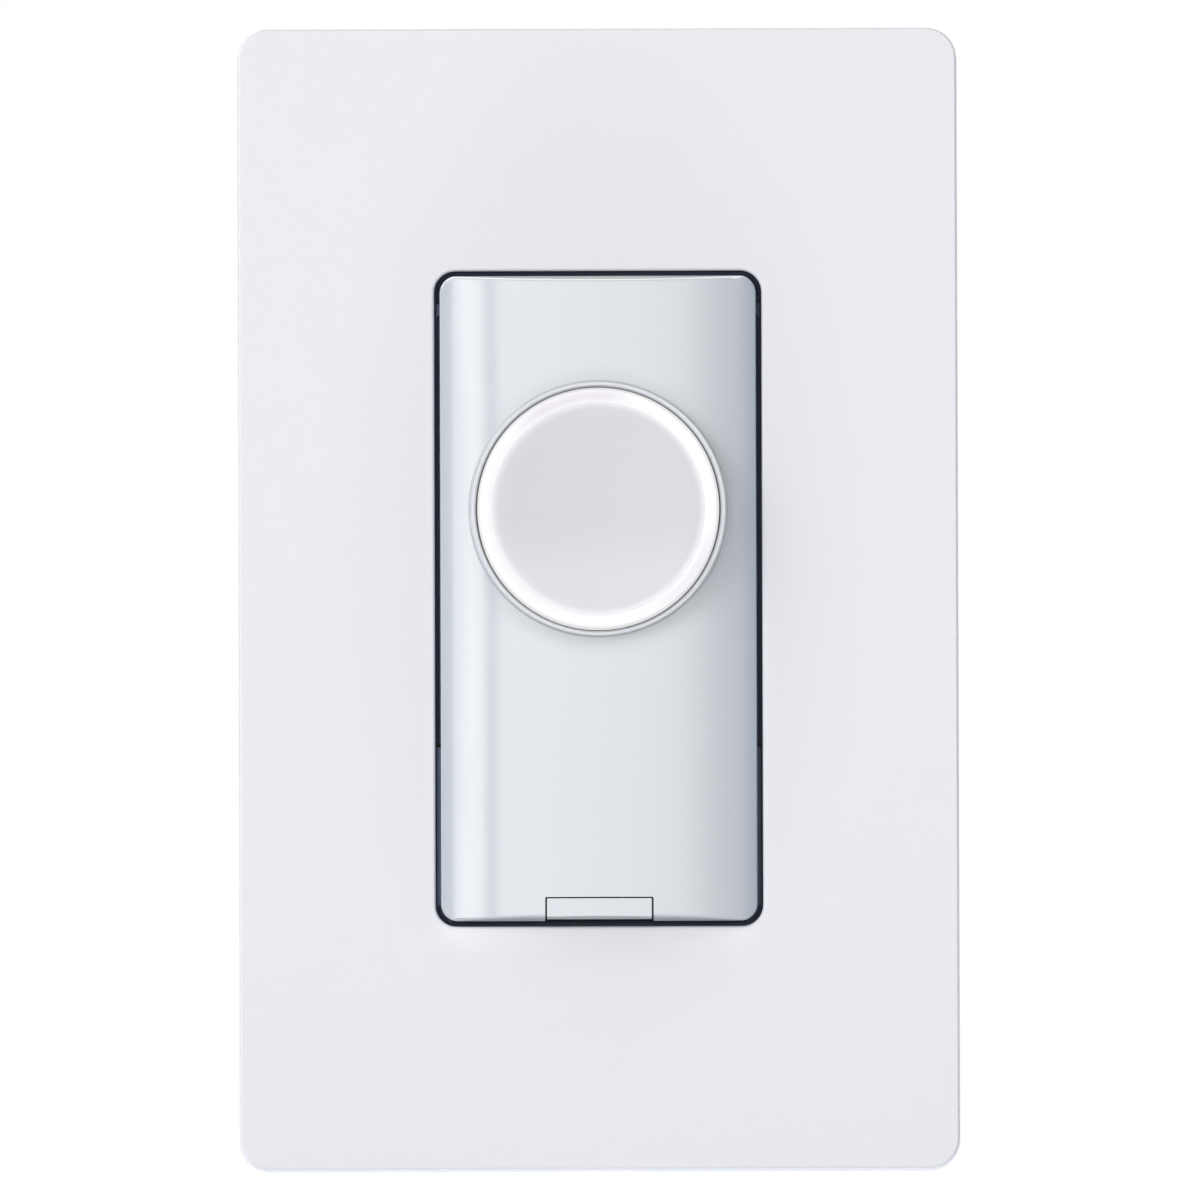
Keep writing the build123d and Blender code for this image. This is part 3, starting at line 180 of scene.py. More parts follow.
class ScrewSettings(bpy.types.PropertyGroup):
    """Sizes of the box screws' threads."""
    radius: length("Radius", 1.75 * MM, "Outer radius of the thread")
    pitch: length("Pitch", 0.794 * MM, "Rise of one turn of the thread")
    depth: length("Depth", 0.42 * MM, "Depth of the thread")
    neck: length("Neck", 1.4 * MM, "Radius of the bare neck under the head")
    slot_width: length("Slot width", 1.0 * MM, "Width of the driver slot")
    slot_depth: length("Slot depth", 1.1 * MM, "Depth of the driver slot")
    columns: IntProperty(name="Columns", description="Points round a screw", default=64, min=12)


class InsideSettings(bpy.types.PropertyGroup):
    """Finish of the circuit boards and what they carry, and of the rear body."""
    body: colour("Rear body", (0.024, 0.025, 0.028), "Colour of the rear body")
    mask: colour("Rear mask", (0.015, 0.16, 0.065), "Solder mask of the two main boards")
    radio_mask: colour("Radio mask", (0.015, 0.055, 0.16), "Solder mask of the radio board")
    package: colour("Package", (0.022, 0.022, 0.025), "Colour of the moulded packages")


class StageSettings(bpy.types.PropertyGroup):
    """The studio round the switch."""
    camera_distance: length("Camera distance", 2.4, "From the plate's back to the camera")
    roll: FloatProperty(name="Roll", description="Turn of the camera about its axis",
                        default=math.radians(0.17), subtype="ANGLE")
    below: FloatProperty(name="Below", description="How far below straight ahead the camera stands",
                         default=math.radians(2.2), subtype="ANGLE")
    floor_drop: length("Floor drop", 40 * MM, "From the plate's lower edge down to the floor")
    floor: colour("Floor", (0.80, 0.80, 0.80), "Colour of the floor")
    ambient: share("Ambient", 0.11, "Light from all round", 10.0)
    cool: colour("Cool", (0.80, 0.90, 1.0), "Tone of the light from all round and of the card")
    front: share("Front", 4.0, "Brightness of the large front panel", 50.0)
    key: share("Key", 6.5, "Brightness of the key panel at the left", 50.0)
    strip: share("Strip", 5.8, "Brightness of the tall strip at the left", 50.0)
    top: share("Top", 2.5, "Brightness of the panel above", 50.0)
    card: share("Card", 0.42, "Brightness of the card that lies on the floor in front", 50.0)
    sill: share("Sill", 0.9, "Brightness of the narrow card right below the plate", 50.0)
    rear: share("Rear", 4.0, "Brightness of the panel behind", 50.0)


class Finish:
    """A Principled material and the nodes that draw its detail, from Object coordinates."""

    def __init__(self, name, base, roughness, metallic=0.0, ior=1.5, coat=0.0, coat_roughness=0.1):
        self.material = bpy.data.materials.new(name)
        self.material.use_nodes = True
        self.tree = self.material.node_tree
        self.shader = self.tree.nodes["Principled BSDF"]
        self.set(**{"Base Color": (*base, 1.0), "Roughness": roughness, "Metallic": metallic, "IOR": ior})
        self.set(**{"Coat Weight": coat, "Coat Roughness": coat_roughness})
        self.place = self.node("ShaderNodeTexCoord").outputs["Object"]
        self.height = None

    def set(self, **values):
        """Plain values straight on the shader's own sockets."""
        for socket, value in values.items():
            self.shader.inputs[socket].default_value = value

    def node(self, kind, **inputs):
        """A node whose inputs are linked to a socket or set to a value."""
        made = self.tree.nodes.new(kind)
        for name, value in inputs.items():
            self.feed(made.inputs[name.replace("_", " ")], value)
        return made

    def feed(self, socket, value):
        """Links a socket, or sets its value."""
        if isinstance(value, bpy.types.NodeSocket):
            self.tree.links.new(value, socket)
        else:
            socket.default_value = value

    def to(self, socket, value):
        """Gives one of the shader's inputs its detail."""
        self.tree.links.new(value, self.shader.inputs[socket])

    def maths(self, operation, a, b=0.0, c=0.0, clamp=False):
        """One step of arithmetic."""
        made = self.tree.nodes.new("ShaderNodeMath")
        made.operation = operation
        made.use_clamp = clamp
        for socket, value in zip(made.inputs, (a, b, c)):
            self.feed(socket, value)
        return made.outputs[0]

    def times(self, first, *others):
        """Values multiplied together."""
        for other in others:
            first = self.maths("MULTIPLY", first, other)
        return first

    def size(self, value):
        """A value without its sign."""
        return self.maths("ABSOLUTE", value)

    def under(self, value, limit):
        """1 where a value is below a limit, else 0."""
        return self.maths("LESS_THAN", value, limit)

    def over(self, value, limit):
        """1 where a value is above a limit, else 0."""
        return self.maths("GREATER_THAN", value, limit)

    def rest(self, value):
        """What a share leaves of 1."""
        return self.maths("SUBTRACT", 1.0, value)

    def hypot(self, a, b):
        """The distance that two steps square to each other make."""
        squares = self.maths("ADD", self.maths("MULTIPLY", a, a), self.maths("MULTIPLY", b, b))
        return self.maths("SQRT", squares)

    def normal(self):
        """The surface's own normal."""
        return self.node("ShaderNodeNewGeometry").outputs["Normal"]

    def tone(self):
        """The base colour as drawn so far."""
        return self.shader.inputs["Base Color"].links[0].from_socket

    def dulled(self, shade):
        """Takes the gloss away where shade is 1."""
        self.to("Specular IOR Level", self.between(shade, 0.0, 1.0, 0.5, 0.03))

    def axes(self):
        """The three Object coordinates apart."""
        return self.node("ShaderNodeSeparateXYZ", Vector=self.place).outputs

    def stretched(self, x=1.0, y=1.0, z=1.0):
        """Object coordinates, stretched along the axes."""
        made = self.node("ShaderNodeMapping", Vector=self.place)
        made.inputs["Scale"].default_value = (x, y, z)
        return made.outputs[0]

    def noise(self, size, detail=2.0, roughness=0.5, place=None):
        """Cloudy noise whose lumps are about size metres wide."""
        made = self.node("ShaderNodeTexNoise", Scale=1 / size, Detail=detail, Roughness=roughness,
                         Vector=place or self.place)
        return made.outputs["Fac"]

    def between(self, value, low, high, to_low=0.0, to_high=1.0):
        """A value spread from one range to another, smoothly."""
        made = self.node("ShaderNodeMapRange")
        made.interpolation_type = "SMOOTHSTEP"
        for socket, number in zip(made.inputs[:5], (value, low, high, to_low, to_high)):
            self.feed(socket, number)
        return made.outputs[0]

    def mixed(self, share_of_b, a, b):
        """A colour between two others."""
        made = self.tree.nodes.new("ShaderNodeMix")
        made.data_type = "RGBA"
        sockets = (made.inputs["Factor"], made.inputs[6], made.inputs[7])
        for socket, value in zip(sockets, (share_of_b, a, b)):
            self.feed(socket, (*value, 1.0) if isinstance(value, tuple) else value)
        return made.outputs[2]

    def leaned(self, mask, target):
        """Leans the shading towards another normal where mask is 1, as a softer or a truer curve would."""
        made = self.node("ShaderNodeVectorMath", Vector=self.mixed(mask, self.normal(), target))
        made.operation = "NORMALIZE"
        self.feed(self.height.node.inputs["Normal"], made.outputs[0])

    def bump(self, height, depth):
        """Raises the surface by height, 0 to 1, times depth metres, on top of earlier bumps."""
        made = self.node("ShaderNodeBump", Height=height, Distance=depth, Strength=1.0)
        if self.height:
            self.feed(made.inputs["Normal"], self.height)
        self.height = made.outputs[0]
        self.to("Normal", self.height)


def shaded(base, factor):
    """A colour made darker or lighter by a factor."""
    return tuple(min(1.0, channel * factor) for channel in base)


def moulded(name, base, roughness, grain, depth, spread=0.03):
    """Moulded plastic: a fine spark-eroded grain, and a tone and roughness that wander a little."""
    base = tuple(base)
    finish = Finish(name, base, roughness)
    wander = finish.noise(12 * MM, 3.0)
    finish.to("Base Color", finish.mixed(wander, shaded(base, 1 - spread), shaded(base, 1 + spread)))
    fine = finish.noise(grain, 3.0, 0.6)
    finish.to("Roughness", finish.between(fine, 0.2, 0.8, roughness * 0.9, roughness * 1.1))
    finish.bump(fine, depth)
    return finish


def plated(name, base, roughness, lines=EVEN, scratch=0.5 * MM):
    """Metal: cloudy plating over fine lines drawn out along the axis with the least stretch."""
    base = tuple(base)
    finish = Finish(name, base, roughness, metallic=1.0)
    cloud = finish.noise(3 * MM, 4.0)
    finish.to("Base Color", finish.mixed(cloud, shaded(base, 0.86), shaded(base, 1.1)))
    fine = finish.noise(scratch, 4.0, 0.65, finish.stretched(*lines))
    worn = finish.maths("MULTIPLY_ADD", cloud, 0.3, fine)
    finish.to("Roughness", finish.between(worn, 0.35, 1.0, roughness * 0.75, roughness * 1.3))
    finish.bump(fine, 0.002 * MM)
    return finish


def dress(finish, *names):
    """Gives CAD nodes a finish."""
    for name in names:
        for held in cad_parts[name].material_slots:
            held.material = finish.material


def gap_shade(finish, settings, rise=0.0):
    """How deep a point lies in the gap, from 0 near the edge of the piece to 1 at the full depth: the mask
    of the painted shade there.
    """
    edge = PLATE_LOW.y - rise
    return finish.between(finish.axes()[1], edge + settings.gap_start, edge + settings.gap_full)


def cover_finish(settings):
    """Satin white cover with a fine grain.

    Painted shade makes its tone fall off a little towards the opening, and painted light raises it again
    right below it. The opening's wall takes painted shade by its depth in the gap.
    """
    base = tuple(settings.cover)
    finish = Finish("cover_satin", base, 0.48)
    across, _, up = finish.axes()
    # Painted shade: the cover's tone darkens a little towards the opening.
    wide = finish.size(finish.maths("DIVIDE", across, PLATE_HIGH.x))
    tall = finish.maths("DIVIDE", finish.maths("SUBTRACT", up, settings.shade_height), PLATE_HIGH.z)
    reach = finish.hypot(wide, finish.times(finish.size(tall), 0.8))
    tone = finish.maths("MULTIPLY_ADD", finish.noise(25 * MM, 2.0), 0.12,
                        finish.between(reach, 0.45, 0.85), clamp=True)
    front = finish.mixed(tone, shaded(base, 1 - settings.shade), base)
    # Painted light below the opening, fading downwards and at its sides.
    painted_lift_mask = finish.maths("POWER", finish.between(up, settings.lift_end, settings.lift_start), 1.5)
    faded = settings.lift_half + settings.lift_fade
    column = finish.between(finish.size(across), faded, settings.lift_half)
    painted_lift_mask = finish.times(painted_lift_mask, column, finish.under(up, 0.0))
    front = finish.mixed(painted_lift_mask, front, shaded(base, settings.lift))
    # Painted shade: the opening's wall takes the gap colour, and loses its gloss, by its depth in the gap.
    inside = finish.times(finish.under(finish.size(across), FACE_HIGH.x + settings.opening_reach),
                          finish.under(finish.size(up), FACE_HIGH.z + settings.opening_reach))
    shade = finish.times(inside, gap_shade(finish, settings))
    finish.to("Base Color", finish.mixed(shade, front, tuple(settings.gap)))
    finish.dulled(shade)
    fine = finish.noise(settings.grain, 3.0, 0.6)
    finish.to("Roughness", finish.between(fine, 0.2, 0.8, 0.45, 0.55))
    finish.bump(fine, settings.grain_depth)
    finish.leaned(finish.times(inside, finish.rest(shade), settings.soften), STRAIGHT_OUT)
    return finish


def polish(finish, settings):
    """A trace of dust in the gloss, over long faint ripples."""
    dust = finish.noise(0.9 * MM, 4.0, 0.7)
    rough = settings.roughness
    finish.to("Roughness", finish.between(dust, 0.3, 0.8, rough * 0.9, rough * 1.15))
    ripples = finish.noise(settings.ripple, 1.0, place=finish.stretched(1.0, 1.0, 0.35))
    finish.bump(ripples, settings.ripple_depth)


def tab_finish(settings):
    """The service tab: the insert's polish, without the gap's shade, since the tab comes out of the gap."""
    base = tuple(settings.insert)
    finish = Finish("tab_polished", base, settings.roughness, ior=settings.ior)
    across, _, up = finish.axes()
    low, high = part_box("air_gap_tab")
    # Painted shade: the tab's bottom face, and less its side walls, are darkened towards black.
    under = finish.between(up, low.z + 0.02 * MM, low.z, 0.0, 0.75)
    side = finish.over(finish.size(across), high.x - 0.01 * MM)
    walls = finish.maths("MAXIMUM", under, finish.times(side, 0.6))
    finish.to("Base Color", finish.mixed(walls, base, BLACK))
    polish(finish, settings)
    return finish


def insert_finish(settings, cover):
    """Polished white insert with painted shade: cooler at its flanks, darker round the button's lip and in
    the gap.

    The sloped upper end and the rounded edge over the service tab carry painted light and are shaded like
    the front.
    Deep in the gap, the painted shade is lighter on the side ledges than the rest, below a darker painted
    notch.
    """
    base = tuple(settings.insert)
    finish = Finish("insert_polished", base, settings.roughness, ior=settings.ior)
    across, _, up = finish.axes()
    aside = finish.size(across)
    tab_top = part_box("air_gap_tab")[1].z
    front = finish.mixed(finish.noise(20 * MM, 2.0), shaded(base, 0.985), shaded(base, 1.015))
    # Painted shade along the flanks, stronger at the right.
    side = finish.between(aside, 0.8 * FACE_HIGH.x, 0.97 * FACE_HIGH.x)
    right = finish.between(across, 0.85 * FACE_HIGH.x, 0.97 * FACE_HIGH.x, 0.0, settings.flank_right)
    flank = finish.maths("MULTIPLY_ADD", side, settings.flank, right)
    front = finish.mixed(flank, front, tuple(settings.flank_painted_shade))
    front = finish.mixed(lip_halo(finish, settings), front, BLACK)
    # Painted shade: the walls of the service tab's opening, below the tab's top, take the gap colour.
    walls = finish.maths("COMPARE", aside, settings.slot_half, settings.slot_wall)
    front = finish.mixed(finish.times(finish.under(up, tab_top), walls), front, tuple(cover.gap))
    # Painted light: the sloped upper end and the rounded edge over the service tab are drawn lighter,
    # without the gap shade.
    normal = finish.node("ShaderNodeSeparateXYZ", Vector=finish.normal()).outputs
    end = finish.times(finish.over(normal[2], 0.5), finish.between(normal[1], -0.05, -0.15),
                       finish.over(up, settings.end_height))
    shade = finish.times(gap_shade(finish, settings, settings.side_rise), finish.rest(end))
    line = finish.times(finish.under(aside, settings.line_half),
                        finish.maths("COMPARE", up, tab_top + settings.line_up, settings.line_reach))
    leaning = finish.maths("MAXIMUM", end, line)
    front = finish.mixed(leaning, front, tuple(settings.end_painted_light))
    # Painted shade deep in the gap: lighter on the side ledges, more so at the left, darker in the notch
    # above them.
    notch = finish.times(finish.under(up, settings.ledge_top),
                         finish.over(up, settings.ledge_top - settings.ledge_notch))
    left = finish.under(across, -0.9 * FACE_HIGH.x)
    sides = finish.over(aside, 0.9 * FACE_HIGH.x)
    deep = finish.mixed(sides, tuple(cover.gap), shaded(cover.gap, settings.ledge))
    deep = finish.mixed(left, deep, shaded(cover.gap, settings.ledge_left))
    deep = finish.mixed(notch, deep, shaded(cover.gap, settings.notch))
    finish.to("Base Color", finish.mixed(shade, front, deep))
    finish.dulled(shade)
    polish(finish, settings)
    finish.leaned(finish.times(leaning, settings.soften), STRAIGHT_OUT)
    return finish


def lip_halo(finish, settings):
    """Shade on the face round the button's raised lip, deepest below it and fading outwards."""
    radius, angle = from_button(finish)
    rise = finish.maths("SINE", angle)
    below = finish.maths("POWER", finish.maths("MAXIMUM", finish.times(rise, -1.0), 0.0), 1.8)
    above = finish.maths("POWER", finish.maths("MAXIMUM", rise, 0.0), 3.0)
    most = finish.maths("MULTIPLY_ADD", below, settings.halo, finish.times(above, settings.halo_above))
    fade = finish.maths("POWER", finish.between(radius, settings.halo_end, settings.halo_start), 2.5)
    return finish.times(most, fade, finish.over(radius, settings.halo_start))


def from_button(finish):
    """Distance from the button's axis and angle round it, as sockets."""
    across, _, up = finish.axes()
    across = finish.maths("SUBTRACT", across, BUTTON_CENTRE.x)
    up = finish.maths("SUBTRACT", up, BUTTON_CENTRE.z)
    return finish.hypot(across, up), finish.maths("ARCTAN2", up, across)


def cap_finish(settings):
    """Satin touch face that is shaded as a shallow dish and whose rim carries the ring's light inwards.

    A dish of radius r has the normal (-x, -r, -z) / r, with x and z measured from the button's axis.
    """
    finish = moulded("cap_satin", settings.cap, 0.42, 0.3 * MM, 0.002 * MM, spread=0.008)
    radius, _ = from_button(finish)
    across, along, up = finish.axes()
    # Painted light: the cap's lower part is drawn lighter, towards white.
    lower = finish.between(up, BUTTON_CENTRE.z - 1 * MM, BUTTON_CENTRE.z - 8 * MM, 0.0, 0.12)
    finish.to("Base Color", finish.mixed(lower, finish.tone(), WHITE))
    fall = finish.maths("SUBTRACT", BUTTON_CENTRE.z, up)
    tilt = finish.node("ShaderNodeCombineXYZ", X=finish.maths("DIVIDE", across, -settings.dish), Y=-1.0,
                       Z=finish.maths("DIVIDE", fall, settings.dish))
    inner = finish.between(radius, 0.84 * CAP_RADIUS, 0.78 * CAP_RADIUS)
    finish.leaned(finish.times(inner, finish.under(along, CAP_LOW.y + 0.5 * MM)), tilt.outputs[0])
    glow = finish.between(radius, CAP_RADIUS - settings.glow_width, CAP_RADIUS)
    finish.set(**{"Emission Color": (*settings.ring, 1.0)})
    finish.to("Emission Strength", finish.times(finish.maths("POWER", glow, 1.8), settings.glow_strength))
    return finish


def ring_finish(settings):
    """The lit diffuser: white, duller at its rim, with painted shade at its top and at its lower right.

    The painted shade is two waves round the ring, 0.6 cos 2(a - 112 deg) + 0.6 cos 3(a - 100 deg).
    """
    finish = Finish("ring_lit", (0.12, 0.12, 0.12), 0.4)
    radius, angle = from_button(finish)
    turns = [finish.maths("MULTIPLY_ADD", angle, count, -math.radians(count * place))
             for count, place in ((2.0, 112.0), (3.0, 100.0))]
    waves = [finish.maths("COSINE", turn) for turn in turns]
    dull = finish.between(finish.times(finish.maths("ADD", *waves), 0.6), -0.1, 1.0)
    away = finish.size(finish.maths("SUBTRACT", radius, CAP_RADIUS + settings.tint_place))
    band = finish.between(away, 0.6 * MM, 0.1 * MM, 0.35, 1.0)
    cloud = finish.between(finish.noise(2.5 * MM, 2.0), 0.3, 0.7, 0.8, 1.0)
    tint = finish.times(dull, band, cloud)
    finish.to("Emission Color", finish.mixed(tint, tuple(settings.ring), tuple(settings.ring_painted_shade)))
    rim = finish.between(radius, settings.rim_start, settings.rim_start + 0.25 * MM, 1.0, 0.75)
    finish.to("Emission Strength", finish.times(rim, settings.ring_strength))
    finish.set(**{"Specular IOR Level": 0.15})
    finish.bump(finish.noise(0.4 * MM, 2.0), 0.002 * MM)
    return finish


def board_finish(name, mask):
    """Solder mask over copper: tracks that run square to each other, pads and a weave under them."""
    base = tuple(mask)
    finish = Finish(name, base, 0.32, coat=0.4, coat_roughness=0.15)
    tracks = finish.node("ShaderNodeTexBrick", Vector=finish.node(
        "ShaderNodeMapping", Vector=finish.place, Rotation=(math.radians(90), 0.0, 0.0)).outputs[0])
    tracks.offset = 0.37
    tracks.squash = 0.6
    tracks.squash_frequency = 3
    for socket, value in (("Scale", 1 / (1.6 * MM)), ("Mortar Size", 0.09), ("Mortar Smooth", 0.1),
                          ("Brick Width", 1.3), ("Row Height", 0.45)):
        tracks.inputs[socket].default_value = value
    line = tracks.outputs["Fac"]
    areas = finish.between(finish.noise(7 * MM, 0.0), 0.47, 0.53)
    shown = finish.times(line, areas)
    spots = finish.node("ShaderNodeTexVoronoi", Scale=1 / (2.2 * MM), Randomness=0.35, Vector=finish.place)
    pads = finish.between(spots.outputs["Distance"], 0.16, 0.12)
    masked = finish.mixed(shown, base, shaded(base, 1.9))
    finish.to("Base Color", finish.mixed(pads, masked, (0.62, 0.60, 0.55)))
    finish.to("Metallic", finish.times(pads, 0.9))
    finish.bump(shown, 0.03 * MM)
    finish.bump(finish.noise(0.5 * MM, 1.0), 0.004 * MM)
    return finish


def fibre_finish(name, base, size, depth):
    """Pressed fibre: long fibres both ways in a mottled sheet."""
    base = tuple(base)
    finish = Finish(name, base, 0.85)
    along = finish.noise(size, 5.0, 0.7, finish.stretched(0.2, 1.0, 1.0))
    athwart = finish.noise(size, 5.0, 0.7, finish.stretched(1.0, 1.0, 0.2))
    fibres = finish.times(finish.maths("ADD", along, athwart), 0.5)
    light = finish.between(fibres, 0.35, 0.65)
    finish.to("Base Color", finish.mixed(light, shaded(base, 0.7), shaded(base, 1.25)))
    finish.bump(fibres, depth)
    return finish


def banded_finish(name, base, pitch, axis, roughness=0.45, depth=0.03 * MM):
    """Tape or sleeve wound round a piece: shallow bands along one axis."""
    base = tuple(base)
    finish = Finish(name, base, roughness)
    along = finish.axes()[axis]
    wave = finish.maths("SINE", finish.times(along, 2 * math.pi / pitch))
    cloud = finish.noise(1.5 * MM, 3.0)
    tone = finish.maths("MULTIPLY_ADD", wave, 0.2, cloud)
    light = finish.between(tone, 0.2, 0.8)
    finish.to("Base Color", finish.mixed(light, shaded(base, 0.85), shaded(base, 1.1)))
    finish.bump(wave, depth)
    return finish


def grid_object(name, sheets, body, finish, crease):
    """One object out of grids of points (rows, columns, 3), each closed round its columns.

    Each face joins four neighbours of a grid. Rows that shrink to a point are merged into a pole,
    so that every sheet is closed, and faces are turned outwards. Edges past crease degrees stay sharp.
    """
    points, quads, start = [], [], 0
    for sheet in sheets:
        rows, columns = sheet.shape[:2]
        here = start + np.arange(rows * columns).reshape(rows, columns)
        beside = np.roll(here, -1, axis=1)
        quads.append(np.stack([here[:-1], beside[:-1], beside[1:], here[1:]], axis=-1).reshape(-1, 4))
        points.append(sheet.reshape(-1, 3))
        start += rows * columns
    mesh = bpy.data.meshes.new(name)
    mesh.from_pydata(np.concatenate(points), [], np.concatenate(quads))
    work = bmesh.new()
    work.from_mesh(mesh)
    bmesh.ops.remove_doubles(work, verts=work.verts, dist=1e-7)
    bmesh.ops.recalc_face_normals(work, faces=work.faces)
    work.to_mesh(mesh)
    work.free()
    mesh.shade_smooth()
    mesh.set_sharp_from_angle(angle=math.radians(crease))
    mesh.materials.append(finish.material)
    made = bpy.data.objects.new(name, mesh)
    bpy.context.scene.collection.objects.link(made)
    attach(made, body)
    return made


def screw_sheet(centre_z, head_top, head_base, tip, head_radius, settings):
    """A pan-headed screw along Y with its head towards -Y, as one grid.

    A profile of (depth, radius) is turned about the axis: point = (r cos a, depth, r sin a). On the
    shank the radius dips by depth * (1 - cos(2 pi * depth / pitch - a)) / 2, which is a helix, and it
    fades in and out at the ends. On the head, points inside two crossed slots sink by the slot's depth.
    The head is a dome, depth = dome_fall * share ** 4, and a quarter ellipse from there to its rim.
    """
    dome_share, dome_fall, rim_fall = 0.86, 0.22, 0.35
    nose_share, slot_reach = 0.35, 0.62
    head_height = head_base - head_top
    cut_base = head_top + settings.slot_depth
    neck_end = head_base + 1.75 * MM
    bevel = settings.radius * 0.4
    rings = np.linspace(0.0, dome_share, 26)
    dome_radius = head_radius * rings
    dome_depth = head_top + head_height * dome_fall * rings ** 4
    rim = np.linspace(0.0, math.pi / 2, 7)
    rim_radius = head_radius * (dome_share + (1 - dome_share) * np.sin(rim))
    rim_depth = head_top + head_height * (dome_fall * dome_share ** 4 + rim_fall * (1 - np.cos(rim)))
    turns = (tip - neck_end) / settings.pitch
    shank = np.linspace(neck_end, tip - bevel, int(turns * 12))
    nose = np.linspace(0.0, 1.0, 5)[1:]
    depth = np.concatenate([dome_depth, rim_depth[1:], [head_base, head_base, neck_end - 0.05 * MM], shank,
                            tip - bevel + bevel * nose, [tip]])
    radius = np.concatenate([dome_radius, rim_radius[1:], [head_radius, settings.neck, settings.neck],
                             np.full(shank.shape, settings.radius),
                             settings.radius * (1 - nose_share * nose), [0.0]])
    angle = np.linspace(0.0, 2 * math.pi, settings.columns, endpoint=False)
    depth, angle = np.meshgrid(depth, angle, indexing="ij")
    radius = np.repeat(radius[:, None], settings.columns, axis=1)
    fade_in = np.clip((depth - neck_end) / settings.pitch, 0, 1)
    fade = fade_in * np.clip((tip - depth) / settings.pitch, 0, 1)
    wave = (1 - np.cos(2 * math.pi * (depth - neck_end) / settings.pitch - angle)) / 2
    radius = radius - settings.depth * wave ** 0.8 * np.where(depth > neck_end, fade, 0.0)
    x, z = radius * np.cos(angle), radius * np.sin(angle)
    half, reach = settings.slot_width / 2, head_radius * slot_reach
    crossed = ((np.abs(x) < half) & (np.abs(z) < reach)) | ((np.abs(z) < half) & (np.abs(x) < reach))
    top = np.arange(depth.shape[0])[:, None] < len(rings)
    depth = np.where(crossed & top, cut_base, depth)
    return np.stack([x, depth, centre_z + z], axis=-1)


class FinishOperator:
    """What every operator here shares."""
    bl_options = {"REGISTER", "UNDO"}


class SWITCH_OT_cover(FinishOperator, bpy.types.Operator):
    """Finish the cover plate and the sub plate."""
    bl_idname = "switch.cover"
    bl_label = "Cover and sub plate"

    def execute(self, context):
        settings = context.scene.switch_cover
        dress(cover_finish(settings), "wall_plate")
        # The sub plate's front carries the bluish painted shade of the gap; its back has its own dark grey.
        lower = moulded("sub_plate_grey", settings.sub_plate, 0.6, 0.3 * MM, 0.01 * MM)
        lower.set(**{"Specular IOR Level": 0.08})
        behind = lower.between(lower.axes()[1], settings.back_start, settings.back_full)
        lower.to("Base Color", lower.mixed(behind, lower.tone(), tuple(settings.sub_back)))
        dress(lower, "sub_plate")
        return {"FINISHED"}


class SWITCH_OT_insert(FinishOperator, bpy.types.Operator):
    """Finish the polished insert and its service tab."""
    bl_idname = "switch.insert"
    bl_label = "Insert and service tab"

    def execute(self, context):
        finish = insert_finish(context.scene.switch_insert, context.scene.switch_cover)
        dress(finish, "front_housing")
        dress(tab_finish(context.scene.switch_insert), "air_gap_tab")
        return {"FINISHED"}


class SWITCH_OT_button(FinishOperator, bpy.types.Operator):
    """Finish the button, its ring of light and what carries them."""
    bl_idname = "switch.button"
    bl_label = "Button and ring"

    def execute(self, context):
        settings = context.scene.switch_button
        dress(cap_finish(settings), "button_cap")
        dress(ring_finish(settings), "light_ring")
        dress(moulded("frame_natural", settings.moulded, 0.5, 0.4 * MM, 0.008 * MM), "switch_stem",
              "button_carrier")
        clear = Finish("guide_clear", (0.92, 0.94, 0.95), 0.06, ior=1.49)
        clear.set(**{"Transmission Weight": 0.85})
        clear.bump(clear.noise(0.8 * MM, 1.0), 0.003 * MM)
        dress(clear, "light_guide")
        return {"FINISHED"}


class SWITCH_OT_metal(FinishOperator, bpy.types.Operator):
    """Finish the yoke, the screws, the terminals and the other metal pieces."""
    bl_idname = "switch.metal"
    bl_label = "Metal pieces"

    def execute(self, context):
        settings = context.scene.switch_metal
        zinc = plated("zinc_plate", settings.zinc, 0.36, (1.0, 1.0, 0.12), 0.35 * MM)
        self.shade_yoke(zinc, context.scene.switch_cover)
        dress(zinc, "mounting_yoke")
        for name, tone, rough, lines, scratch, *nodes in (
            ("zinc_screw", settings.zinc, 0.26, EVEN, 0.5, "box_screws", "sub_plate_screws", "board_screws",
             "housing_screws"),
            ("green_screw", settings.earth, 0.34, EVEN, 0.5, "ground_screw"),
            ("spring_wire", settings.spring, 0.25, EVEN, 0.5, "return_spring"),
            ("stamped_brass", settings.brass, 0.3, (1.0, 1.0, 0.2), 0.3, "contact_bridge", "gap_contacts",
             "terminal_plates", "pressure_plates", "terminal_screws", "header_pins"),
            ("tinned_shield", settings.tin, 0.3, (1.0, 1.0, 0.4), 0.5, "radio_shield"),
            ("rolled_aluminium", settings.aluminium, 0.38, (1.0, 1.0, 0.05), 0.2, "heat_spreader"),
        ):
            dress(plated(name, tone, rough, lines, scratch * MM), *nodes)
        dress(fibre_finish("card_fibre", (0.40, 0.30, 0.22), 0.5 * MM, 0.03 * MM), "screw_retainers")
        return {"FINISHED"}

    def shade_yoke(self, finish, cover):
        """Darkens the yoke's face where only the thin slots round the service tab show it."""
        across, along, up = finish.axes()
        half_width, half_height = BEHIND_INSERT
        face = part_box("mounting_yoke")[0].y + 0.05 * MM
        shade = finish.times(finish.under(finish.size(across), half_width),
                             finish.under(finish.size(up), half_height), finish.under(along, face))
        finish.to("Base Color", finish.mixed(shade, finish.tone(), tuple(cover.gap)))
        finish.to("Metallic", finish.rest(shade))
        finish.dulled(shade)


